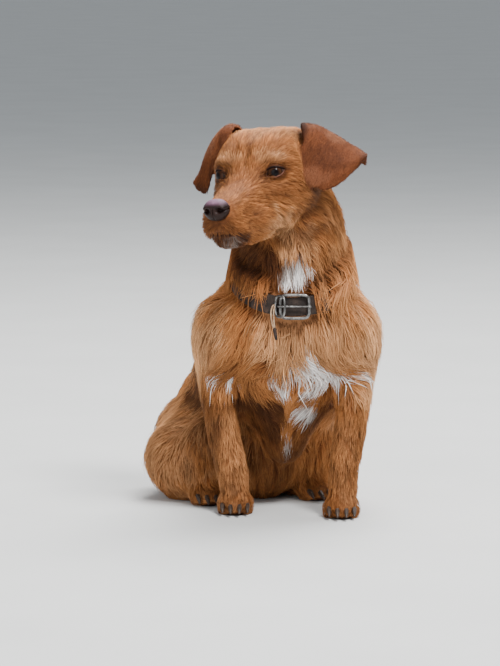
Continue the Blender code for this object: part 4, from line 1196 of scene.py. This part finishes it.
@dataclass
class Collar:
    """A worn leather strap round the neck, with buckle, prong, keeper, lead ring and a thong."""

    at: tuple = (4.0, 0.0, 243.0)
    tilt: float = 26.6
    half_width: float = 60.0
    half_depth: float = 67.0
    width: float = 19.0
    thickness: float = 3.2
    doubling: float = 2.4
    flare: float = 0.2
    buckle: tuple = (14.2, 11.4)     # half its size along and across
    wire: float = 1.6                # radius of its bar
    play: float = 0.35               # between pieces that lie on each other
    doubled: tuple = (-9.0, 52.0)    # where the strap's free end lies over it, left of the throat
    turned: tuple = (-38.0, -14.5)   # where its other end is turned back round the buckle
    keeper: float = 30.0
    ring: tuple = (7.0, 10.5)
    ring_wire: float = 1.15

    PRESSED = 1.2                    # how far under the strap the skin lies
    OVER_BUCKLE = (-25, 17)          # where hair ends above the strap, left of the throat
    FRINGE = (-57, -25)              # where most hair ends upon it
    BARRED = (-22, 19)               # where none may cross it

    def points(self, turn: Array) -> tuple:
        """Middle, outward and width directions of the strap at angles round the neck, in body millimetres."""
        c, s = np.cos(turn), np.sin(turn)
        lean, tilt = self.half_depth * s, math.radians(self.tilt)
        centre = np.stack([self.at[0] + self.half_width * c, self.at[1] + lean * math.cos(tilt),
                           self.at[2] + lean * math.sin(tilt)], -1)
        flat = unit(np.stack([c / self.half_width, s / self.half_depth, np.zeros_like(c)], -1))
        width = unit(np.array([0, -0.08, 1]) - flat * self.flare)
        return centre, square(flat, width), width

    def measure(self, points: Array) -> tuple:
        """How far out of, up from and round the strap's middle points in body millimetres lie."""
        tilt = math.radians(self.tilt)
        turn = np.arctan2((points[:, 1] - self.at[1]) / (self.half_depth * math.cos(tilt)),
                          (points[:, 0] - self.at[0]) / self.half_width)
        centre, outward, width = self.points(turn)
        gap = points - centre
        return dots(gap, outward), dots(gap, width), turn, outward

    def press(self, hide: Hide) -> None:
        """Presses the skin in under the strap."""
        body = hide.anatomy.body.into(hide.points)
        out, up, _, outward = self.measure(body)
        near = (np.abs(up) < 14) & (np.abs(out) < 7)
        limit = -self.thickness / 2 - self.PRESSED + 12 * ease(np.abs(up), 9.5, 13.5)
        over = np.where(near, np.maximum(out - limit, 0), 0)
        hide.points -= outward * over[:, None] * MM

    def frame_at(self, reach: float) -> Place:
        """A frame on the strap so far left of the throat: x along it, y inwards, z up its width."""
        centre, outward, width = (v[0] for v in self.points(self.turn_at([reach])))
        return Place(ANATOMY.body.out(centre), np.array([np.cross(width, outward), -outward, width]))

    def band(self, turns: Array, low: float, high: float, half: Array) -> tuple:
        """A leather band over some angles between two depths outwards: a rounded section carried round.

        Args:
            turns: Angles round the neck.
            low: Its inner face, outwards of the strap's middle.
            high: Its outer face.
            half: Half its width at each angle.

        Returns:
            Its rings in metres, the middles of its ends, and its map.
        """
        centre, outward, width = self.points(turns)
        section = circle(28)
        across = bent(np.cos(section), 0.22)
        deep = bent(np.sin(section), 0.45)
        worn = 0.25 * clouds(centre, 9.0, 5)[:, None]
        rings = (centre[:, None] + width[:, None] * (across * (half[:, None] + worn))[..., None]
                 + outward[:, None] * ((low + high) / 2 + deep * (high - low) / 2)[None, :, None])
        where = np.stack(np.broadcast_arrays(self.half_width * turns[:, None] / 10, across * 0.95), -1)
        return ANATOMY.body.out(rings), ANATOMY.body.out(rings[[0, -1]].mean(1)), where

    def leather(self, name: str, turns: Array, low: float, high: float, half: Array, *nodes: str) -> None:
        """Makes a band of the strap, closed to a loop where it stands for the strap's own node."""
        made = loft(name, *self.band(turns, low, high, half), bool(nodes))
        mend(made, False)
        LEATHER.fit(made, "strap_leather", *nodes)

    def reach(self, turn: Array) -> Array:
        """How far left of the throat an angle lies."""
        return self.half_width * np.sin(turn + math.pi / 2)

    def turn_at(self, reach: Array) -> Array:
        """The angle of a place so far left of the throat."""
        return np.arcsin(np.asarray(reach) / self.half_width) - math.pi / 2

    def hoop(self, name: str, place: Place, half: tuple, wire: float, power: float, node: str) -> None:
        """A closed ring of round wire in the x-z plane of a place: a superellipse, squarer as power falls."""
        turn = circle(96)
        x, z = half[0] * bent(np.cos(turn), power), half[1] * bent(np.sin(turn), power)
        path = place.out(np.stack([x, np.zeros_like(x), z], 1))
        STEEL.fit(tube(name, path, place.axes[1], wire, 12, True), "steel", node)

    def build(self) -> None:
        """Makes strap, doubled end, keeper, buckle, prong, ring and thong."""
        half = self.thickness / 2
        count = 260
        self.leather("strap", circle(count), -half, half, np.full(count, self.width / 2), "collar_strap")
        inner, outer = half + 0.05, half + self.doubling
        reach = np.linspace(*self.doubled, 70)
        tip = np.sqrt(np.clip((self.doubled[1] + 0.6 - reach) / 8, 0, 1))
        self.leather("strap_end", self.turn_at(reach), inner, outer, self.width / 2 * (0.25 + 0.75 * tip))
        reach = np.linspace(*self.turned, 30)
        self.leather("strap_turned_back", self.turn_at(reach), inner, outer,
                     np.full(30, self.width / 2 - 0.3))
        throat = self.frame_at(0)
        top = -(outer + self.play)
        bar = top - self.wire
        buckle_at = Place(throat.out((2, bar, 0)), throat.axes)
        self.hoop("buckle", buckle_at, self.buckle, self.wire, 2 / 5, "collar_buckle")
        lift = bar - self.wire - self.play - 1.1
        path = spline([(-14.5, lift + 1.2, 0), (-12, lift - 0.3, 0), (2, lift + 0.5, 0), (18.2, lift, 0)], 10)
        prong = tube("prong", throat.out(path), throat.axes[2], np.linspace(1.35, 0.85, len(path)))
        STEEL.fit(prong, "steel", "collar_prong")
        keeper_at = self.frame_at(self.keeper)
        turn = circle(64)
        loop = np.stack([np.zeros(64), (top + half) / 2 - 0.3 + bent(np.sin(turn), 0.3) * 3.6,
                         bent(np.cos(turn), 0.25) * 10.4], 1)
        keeper = tube("keeper", keeper_at.out(loop), keeper_at.axes[0], 3.0, 12, True, 0.27)
        LEATHER.fit(keeper, "strap_leather", "collar_keeper")
        swing = math.radians(-50)
        c, s = math.cos(swing), math.sin(swing)
        hinge = Place(throat.out((-17, bar, 0)), np.array([[c, s, 0], [-s, c, 0], [0, 0, 1]]) @ throat.axes)
        ring_at = Place(hinge.out((self.ring[0], 0, 0)), hinge.axes)
        self.hoop("lead_ring", ring_at, self.ring, self.ring_wire, 2 / 3, "collar_ring")
        self.thong(throat, bar - 1.5)

    def thong(self, throat: Place, hang: float) -> None:
        """A tan thong looped through the ring, whose two strands end in one dark tip."""
        strands = (((-17, 2.2, 2), (-19.8, 0, 0.6), (-21.4, 0, -6), (-20.6, 0, -15), (-18.2, 0, -23)),
                   ((-17, 2.4, 1), (-18.2, 0.2, -1), (-18.8, 0, -7), (-18.4, 0, -15), (-17.4, 0, -23)))
        for k, knots in enumerate(strands, 1):
            path = throat.out(spline(np.add(knots, (0, hang, 0)), 10))
            radii = np.linspace(0.75, 0.85, len(path))
            THONG.fit(tube(f"thong_{k}", path, throat.axes[0], radii, flat=0.8), "strap_leather")
        knots = [(-18, hang, -20.5), (-17.4, hang, -25), (-16.6, hang, -30), (-16, hang, -33)]
        path = throat.out(spline(knots, 8))
        radii = np.interp(np.linspace(0, 1, len(path)), [0, 0.15, 0.6, 1], [1.3, 1.9, 1.7, 0.8])
        tip = tube("thong_tip", path, throat.axes[0], radii, 12, flat=0.7)
        LEATHER.fit(tip, "strap_leather", "collar_thong")


def leather_shader() -> Shader:
    """Worn dark leather: mottled, cracked along its length and rubbed paler."""
    made = Shader("worn_leather", 0.66, Specular_IOR_Level=0.25)
    mottle, cracks, grain = made.noise(90, 4), made.noise(500, 4, (1, 1, 0.35)), made.cells(1600)
    colour = made.ramp(mottle, (0.30, (0.010, 0.006, 0.005)), (0.55, (0.030, 0.018, 0.013)),
                       (0.8, (0.085, 0.048, 0.035)))
    colour = made.mix(made.ramp(cracks, (0.35, 1), (0.5, 0)), colour, (0.012, 0.008, 0.006, 1))
    made.put("Base Color", colour)
    made.bump(made.math("ADD", cracks, made.math("MULTIPLY", grain, 0.6)), 0.35, 0.7)
    return made


def thong_shader() -> Shader:
    """Tan thong leather."""
    made = Shader("tan_thong", 0.6)
    mottle = made.noise(420, 4)
    made.put("Base Color", made.ramp(mottle, (0.3, (0.22, 0.12, 0.06)), (0.7, (0.46, 0.30, 0.18))))
    made.bump(mottle, 0.15)
    return made


def steel_shader() -> Shader:
    """Dull steel, scuffed and a little tarnished."""
    made = Shader("tarnished_steel", 0.36, 1.0)
    mottle = made.noise(260, 4)
    made.put("Base Color", made.ramp(mottle, (0.3, (0.055, 0.052, 0.05)), (0.65, (0.27, 0.26, 0.25))))
    made.put("Roughness", made.ramp(mottle, (0.3, 0.55), (0.7, 0.28)))
    made.bump(made.noise(900, 3), 0.06)
    return made


# ---------------------------------------------------------------- the tufts

@dataclass
class Groomer:
    """Grows the tufts: roots spread over the skin, paths along the lie of the hair, gathered into locks."""

    hide: Hide
    gather: float = 0.55          # how far a tuft's tip moves to the middle of its lock
    seed: int = 17

    STEPS = 3                     # of a tuft's path
    LOCK_STEPS = 6                # of a lock's path, each a quarter of the hair's length
    WISPS = 0.06                  # share of tufts that stand out longer and thinner
    RISE = (-0.25, 0.55, 0.86, 1.0)     # height over the skin along a tuft, for its depth of coat
    # how much these differ from tuft to tuft, and from lock to lock
    VARIED = {"length": (0.18, 0.10), "turn": (0.07, 0.10), "lift": (0.10, 0.10), "tone": (0.13, 0.15)}
    SWIRLS = ((0.16, 0.025, 21), (0.10, 0.008, 22))     # turns of the lie: strength, size in metres and seed
    THICKNESS = (0.26, 0.029)     # of a tuft, and its growth with the hair's length
    CRUMPLED = 0.55               # a tuft whose ends lie nearer than this share of its length is dropped
    MOST = 190000                 # triangles of a piece

    def roots(self, rng: np.random.Generator) -> tuple:
        """Spreads roots over the skin by area times crowding.

        Returns:
            Root points and their nearest vertices.
        """
        mesh = self.hide.object.data
        mesh.calc_loop_triangles()
        flat = np.empty(len(mesh.loop_triangles) * 3, np.int32)
        mesh.loop_triangles.foreach_get("vertices", flat)
        corners = flat.reshape(-1, 3)
        spots = self.hide.points[corners]
        area = np.linalg.norm(np.cross(spots[:, 1] - spots[:, 0], spots[:, 2] - spots[:, 0]), axis=1) / 2
        crowd = (self.hide.crowd * (self.hide.bare < 0.5))[corners].mean(1)
        wanted = np.cumsum(area * SQUARE_CENTIMETRES * crowd)
        places = np.arange(0.5, wanted[-1] - 0.5)
        face = np.searchsorted(wanted, places)
        u, v = rng.uniform(size=(2, len(face)))
        fold = u + v > 1
        u[fold], v[fold] = 1 - u[fold], 1 - v[fold]
        share = np.stack([1 - u - v, u, v], 1)
        root = (spots[face] * share[..., None]).sum(1)
        return root, corners[face, share.argmax(1)]

    def locks(self, rng: np.random.Generator) -> tuple:
        """Seeds locks over the skin and hands each vertex to the one nearest across the lie.

        Returns:
            The lock of each vertex, and each lock's path and stride.
        """
        hide = self.hide
        size = np.clip(0.30 * hide.length, 1.6, 9.0)
        ring = np.linalg.norm(hide.points[hide.near] - hide.points[:, None], axis=2).max(1) / MM
        chance = np.clip(ring ** 2 / (3.2 * size ** 2) * 0.8, 0, 1)
        seeds = np.flatnonzero(rng.uniform(size=len(chance)) < chance)
        label = np.full(len(chance), -1)
        label[seeds] = np.arange(len(seeds))
        best = np.where(label >= 0, 0.0, np.inf)
        rows = np.arange(len(label))
        for _ in range(10):
            offers = label[hide.near]
            gap = hide.points[:, None] - hide.points[seeds[np.maximum(offers, 0)]]
            lie = hide.flow[:, None]
            run = dots(gap, lie)
            far = np.where(offers >= 0, dots(gap, gap) - 0.75 * run * run, np.inf)
            pick = far.argmin(1)
            better = far[rows, pick] < best
            label[better] = offers[rows, pick][better]
            best = np.minimum(best, far[rows, pick])
        label = np.maximum(label, 0)
        stride = hide.length[seeds] / 4 * MM
        paths, _ = hide.walk(hide.points[seeds], seeds, stride, np.zeros((len(seeds), self.LOCK_STEPS)))
        return label, paths, stride

    def grow(self) -> None:
        """Grows all tufts and makes the coat's pieces of them."""
        rng = np.random.default_rng(self.seed)
        hide = self.hide
        root, vertex = self.roots(rng)
        label, lock_paths, lock_stride = self.locks(rng)
        count, locks = len(root), len(lock_stride)
        LOG.info("%d tufts in %d locks", count, locks)
        lock = label[vertex]
        of_lock = dict(zip(self.VARIED, rng.normal(size=(locks, 4)).T[:, lock]))

        def varied(name: str) -> Array:
            """How far each tuft strays from the mean: its own draw and its lock's."""
            own, shared = self.VARIED[name]
            return own * rng.normal(size=count) + shared * of_lock[name]

        wisp = rng.uniform(size=count) < self.WISPS
        length = hide.length[vertex] * np.exp(varied("length"))
        length *= 1 + 0.25 * wisp
        swirl = sum(strength * clouds(root, size, seed) for strength, size, seed in self.SWIRLS)
        veer = (swirl + varied("turn"))[:, None]
        curl = 0.22 * np.sin(rng.uniform(0, 2 * math.pi, count)[:, None] + np.arange(self.STEPS) * 1.3)
        points, vertices = hide.walk(root, vertex, length / self.STEPS * MM,
                                     veer + curl * ease(length, 5, 16)[:, None])
        up = hide.normals[vertices]
        up = np.where(dots(up, up[:, :1])[..., None] < 0.2, up[:, :1], up)      # over an edge: as at the root
        side = np.cross(up, hide.flow[vertices])
        points = self.gathered(points, side, length, lock_paths[lock], lock_stride[lock])
        lift = 0.92 + varied("lift") + 0.25 * wisp
        depth = hide.depth[vertices].min(1, keepdims=True) * 0.5 + hide.depth[vertices] * 0.5
        height = depth * np.clip(lift, 0.45, 1.5)[:, None] * self.RISE
        points = points + up * height[..., None] * MM
        keep = np.linalg.norm(points[:, -1] - points[:, 0], axis=1) > self.CRUMPLED * length * MM
        points, keep = self.over_the_strap(points, keep, length, height, rng)
        points[..., 2] = np.maximum(points[..., 2], (0.25 + 0.5 * rng.uniform(size=(count, 1))) * MM)
        thinnest, growth = self.THICKNESS
        width = (thinnest + growth * hide.length[vertex]) * np.exp(0.25 * rng.normal(size=count))
        width *= 1 - 0.4 * wisp
        marks = hide.marks(root, hide.ears[vertex])
        marks[:, SHADE] = np.maximum(marks[:, SHADE], hide.kohl[vertex])
        ragged = 0.22 * rng.normal(size=count) * (marks[:, WHITE] > 0.03)
        marks[:, WHITE] = ease(marks[:, WHITE] + ragged, 0.2, 0.8)
        drift = 0.16 * clouds(root, 0.02, 31) * (1 - 0.8 * hide.ears[vertex])
        tone = np.clip(0.5 + varied("tone") + drift, 0.02, 1)
        for number, kind in enumerate(COATS):
            chosen = np.flatnonzero((hide.coat[vertex] == number) & keep)
            self.piece(kind, *(values[chosen] for values in (points, up, width, marks, tone, root)))

    def gathered(self, points: Array, side: Array, length: Array, guides: Array, stride: Array) -> Array:
        """Draws tufts sideways towards the middle of their locks, more towards their tips.

        Args:
            points: The tufts' paths.
            side: Across the lie at each point.
            length: Of each tuft, in millimetres.
            guides: The path of each tuft's lock.
            stride: That path's stride.

        Returns:
            The new paths.
        """
        share = np.linspace(0, 1, self.STEPS + 1)
        travelled = np.clip(length[:, None] * MM * share / stride[:, None], 0, self.LOCK_STEPS - 0.001)
        low = travelled.astype(int)
        part = (travelled - low)[..., None]
        rows = np.arange(len(points))[:, None]
        guide = guides[rows, low] * (1 - part) + guides[rows, low + 1] * part
        aside = dots(points - guide, side)
        pull = self.gather * share ** 1.3 * (np.abs(aside) < 0.5 * length[:, None] * MM)
        return points - side * (aside * pull)[..., None]

    def over_the_strap(self, points: Array, keep: Array, length: Array, rise: Array,
                       rng: np.random.Generator) -> tuple:
        """Lays hair from above over the strap, ends it above the buckle, and leaves none under the strap.

        A tuft that meets the strap is laid straight from its root, level with the strap's face.

        Args:
            points: The tufts' paths.
            keep: Which tufts are kept.
            length: Of each tuft, in millimetres.
            rise: Height of each point over the skin.
            rng: Source of the random draws.

        Returns:
            The new paths, and which tufts are kept.
        """
        count, steps = points.shape[:2]
        half = COLLAR.width / 2
        out, up, turn, outward = self.by_the_strap(points)
        keep = keep & ~((np.abs(out[:, 0]) < 12) & between(up[:, 0], 3 - half, half))
        downward = points[:, 0, 2] > points[:, -1, 2]
        meets = (np.abs(out[:, 0]) < 19) & (up[:, 0] >= half) & (up[:, 0] - length < half + 1) & downward
        away = outward[:, :1]
        heading = square(unit(points[:, -1] - points[:, 0])[:, None], away)
        reach = COLLAR.reach(turn[:, 0])
        fore = np.sin(turn[:, 0]) < 0
        ends = fore & between(reach, *COLLAR.OVER_BUCKLE)
        partly = fore & between(reach, *COLLAR.FRINGE) & (rng.uniform(size=count) < 0.9)
        fall = np.maximum(-dots(heading[:, 0], COLLAR.points(turn[:, 0])[2]), 0.3)
        overlap = np.where(partly, 5.0 + 8.0 * rng.uniform(size=count), 2.5 * rng.uniform(size=count))
        to_the_end = np.minimum(1.2 * length, (up[:, 0] - half + overlap) / fall)
        run = np.where(ends | partly, to_the_end, 1.3 * length)
        share = np.linspace(0, 1, steps)
        face = COLLAR.thickness / 2 + 0.5 + 2.6 * rng.uniform(size=(count, 1))
        doubled = fore & (np.abs(reach - 7) < 48)
        over = np.maximum(out[:, :1] + rise, face + COLLAR.doubling * doubled[:, None])
        over = np.where(share == 0, 0, over - out[:, :1])
        laid = points[:, :1] + (heading * (share * run[:, None])[..., None] + away * over[..., None]) * MM
        points = np.where(meets[:, None, None], laid, points)
        out, up, turn, _ = self.by_the_strap(points)
        barred = (np.sin(turn) < 0) & between(COLLAR.reach(turn), *COLLAR.BARRED)
        barred &= (np.abs(up) < half + 1.5) & (np.abs(out) < 20)
        return points, keep & ~(meets & (run < 5)) & ~barred.any(1)

    def by_the_strap(self, points: Array) -> tuple:
        """The collar's measures of the points of tufts, in rows as the points are."""
        found = COLLAR.measure(ANATOMY.body.into(points.reshape(-1, 3)))
        return tuple(v.reshape(*points.shape[:2], *v.shape[1:]) for v in found)

    def piece(self, kind: Coat, points: Array, up: Array, width: Array, marks: Array, tone: Array,
              root: Array) -> None:
        """Makes the tufts of a coat into pieces of less than 200,000 triangles.

        Each ring of a tuft has three corners: one above its path and two beside and below it.

        Args:
            kind: The coat.
            points: The tufts' paths.
            up: The skin's normal below each point.
            width: Of each tuft, in millimetres.
            marks: The marks at its root.
            tone: Its brightness.
            root: Its root on the skin.
        """
        girth, along = np.array([0.75, 1.0, 0.62]), np.array([0.0, 0.36, 0.68, 1.0])
        if kind in SHORT:
            points, up = points[:, [0, 2, 3]], up[:, [0, 2, 3]]
            girth, along = np.array([0.95, 0.72]), np.array([0.0, 0.58, 1.0])
        rings = len(girth)
        heading = unit(np.gradient(points, axis=1))
        side = unit(np.cross(up, heading))
        over = np.cross(heading, side)
        corner = np.radians([90, 210, 330])
        size = (width[:, None] * girth)[:, :, None, None] / 2 * MM
        around = (side[:, :rings, None] * np.cos(corner)[None, None, :, None]
                  + 0.75 * over[:, :rings, None] * np.sin(corner)[None, None, :, None])
        count, per = len(points), rings * 3 + 1
        body = (points[:, :rings, None] + size * around).reshape(count, -1, 3)
        verts = np.concatenate([body, points[:, -1:]], 1)
        soft = 0.85 * up[:, :rings, None] + 0.5 * unit(around)        # shaded mostly as the skin below
        soft = unit(np.concatenate([soft.reshape(count, -1, 3), up[:, -1:]], 1))
        quads = grid_faces(rings, 3, False, True)
        k, last = np.arange(3), (rings - 1) * 3
        tips = np.vstack([np.stack([last + k, last + (k + 1) % 3, np.full(3, per - 1)], 1), [[2, 1, 0]]])
        place = np.append(np.repeat(along[:rings], 3), 1.0)
        across = np.append(np.tile([0.5, 0, 1], rings), 0.5)
        chance = np.random.default_rng(self.seed + COATS.index(kind)).uniform(0.05, 1, count)
        strand = np.stack(np.broadcast_arrays(place, tone[:, None], across, chance[:, None]), -1)
        uv = self.unwrap(kind, root)[:, None] + PATCH * np.stack([across, place], 1)
        triangles = len(quads) * 2 + len(tips)
        share = math.ceil(count * triangles / self.MOST)
        for number in range(share):
            rows = np.arange(number, count, share)
            base = (np.arange(len(rows)) * per)[:, None, None]
            name = kind.value if share == 1 else f"{kind.value}_{number + 1}"
            made = make_mesh(name, verts[rows].reshape(-1, 3),
                             [(quads[None] + base).reshape(-1, 4), (tips[None] + base).reshape(-1, 3)])
            made.data.normals_split_custom_set_from_vertices(soft[rows].reshape(-1, 3))
            colour_layer(made, "strand", strand[rows].reshape(-1, 4))
            colour_layer(made, "marks", np.repeat(marks[rows], per, 0))
            uv_layer(made, "OFBake", uv[rows].reshape(-1, 2))
            HAIR.fit(made, "ear_coat" if kind is Coat.EARS else "coat")
            LOG.info("%s: %d tufts, %d triangles", name, len(rows), len(rows) * triangles)

    def unwrap(self, kind: Coat, root: Array) -> Array:
        """Places of roots on a map: each coat and side has a tile, wound round its own long axis."""
        tiles = math.ceil(math.sqrt(len(COATS) * 2))
        uv = np.empty((len(root), 2))
        left = root[:, 0] > ANATOMY.body.origin[0] + 0.004
        for half in (0, 1):
            rows = np.flatnonzero(left == bool(half))
            if len(rows) < 4:
                uv[rows] = 0.5
                continue
            spots = root[rows] - root[rows].mean(0)
            axes = np.linalg.svd(spots.T @ spots)[2]
            flat = spots @ axes.T
            wound = np.arctan2(flat[:, 1], flat[:, 2]) / (2 * math.pi) + 0.5
            run = (flat[:, 0] - flat[:, 0].min()) / np.ptp(flat[:, 0])
            tile = COATS.index(kind) * 2 + half
            corner = np.array([tile % tiles, tile // tiles])
            uv[rows] = (corner + 0.03 + 0.92 * np.stack([wound, run], 1)) / tiles
        return uv


# ---------------------------------------------------------------- the studio

@dataclass
class Studio:
    """Pale floor, soft light from above and from the dog's left, and the camera."""

    aim: tuple = (-38.0, 0.0, 180.2)
    rise: float = 6.5
    away: float = 4.0
    lens: float = 216.0

    def light(self, name: str, at: tuple, size: float, power: float) -> None:
        """A square soft light that faces the dog."""
        lamp = bpy.data.lights.new(name, "AREA")
        lamp.size, lamp.energy = size, power
        made = bpy.data.objects.new(name, lamp)
        made.location = at
        made.rotation_euler = (Vector((0, 0, 0.2)) - Vector(at)).to_track_quat("-Z", "Y").to_euler()
        bpy.context.scene.collection.objects.link(made)

    def build(self) -> None:
        """Sets floor, lights, surroundings and camera."""
        corners = 40.0 * np.array([[-1, -1, 0], [1, -1, 0], [1, 1, 0], [-1, 1, 0]])
        floor = make_mesh("floor", corners, [np.array([[0, 1, 2, 3]])], False)
        stone = Shader("pale_floor", 0.8)
        mottle = stone.noise(6, 2)
        stone.put("Base Color", stone.ramp(mottle, (0.3, (0.60, 0.60, 0.585)), (0.7, (0.63, 0.63, 0.615))))
        stone.dress(floor)
        self.light("key", (1.0, -1.8, 2.7), 0.75, 150)
        self.light("sky", (0.5, 1.0, 2.8), 1.8, 175)
        self.light("fill", (-1.4, -3.2, 1.3), 2.4, 48)
        world = bpy.data.worlds.new("studio")
        bpy.context.scene.world = world
        world.use_nodes = True
        glow = world.node_tree.nodes["Background"]
        glow.inputs["Color"].default_value = (0.86, 0.93, 1.0, 1)
        glow.inputs["Strength"].default_value = 0.5
        camera = bpy.data.cameras.new("camera")
        camera.lens, camera.sensor_width, camera.clip_end = self.lens, 36, 100
        made = bpy.data.objects.new("camera", camera)
        bpy.context.scene.collection.objects.link(made)
        rise = math.radians(self.rise)
        back = Vector((0, -math.cos(rise), math.sin(rise)))
        made.location = Vector(ANATOMY.body.out(self.aim)) + back * self.away
        made.rotation_euler = back.to_track_quat("Z", "Y").to_euler()
        bpy.context.scene.camera = made


ANATOMY = Anatomy()
EYES = (Eye("left", 1), Eye("right", -1))
MOUTH = Mouth()
NOSE = Nose()
COLLAR = Collar()
HAIR = Hair().shader("rough_coat", False)
SKIN = Hair().shader("skin_coat", True)
EYE_SHADER = eye_shader()
LID_SHADER = lid_shader()
NOSE_SHADER = nose_shader()
LEATHER = leather_shader()
THONG = thong_shader()
STEEL = steel_shader()


def claws() -> None:
    """Gives the claws their horn: dark, streaked along their length."""
    horn = Shader("claw_horn", 0.55, Specular_IOR_Level=0.3)
    streaks = horn.noise(700, 3, (1, 0.25, 1))
    horn.put("Base Color", horn.ramp(streaks, (0.3, (0.012, 0.008, 0.006)), (0.7, (0.07, 0.042, 0.028))))
    horn.bump(streaks, 0.08)
    for name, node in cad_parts.items():
        if name.startswith("claw_"):
            horn.dress(node)


def main() -> None:
    """Builds the dog piece by piece."""
    logging.basicConfig(level=logging.INFO, format="%(relativeCreated)d ms %(message)s")
    Studio().build()
    hide = Hide(ANATOMY)
    hide.dress(SKIN)
    for eye in EYES:
        eye.build(ANATOMY)
    NOSE.build(ANATOMY)
    claws()
    COLLAR.build()
    Groomer(hide).grow()


if __name__ == "__main__":
    main()
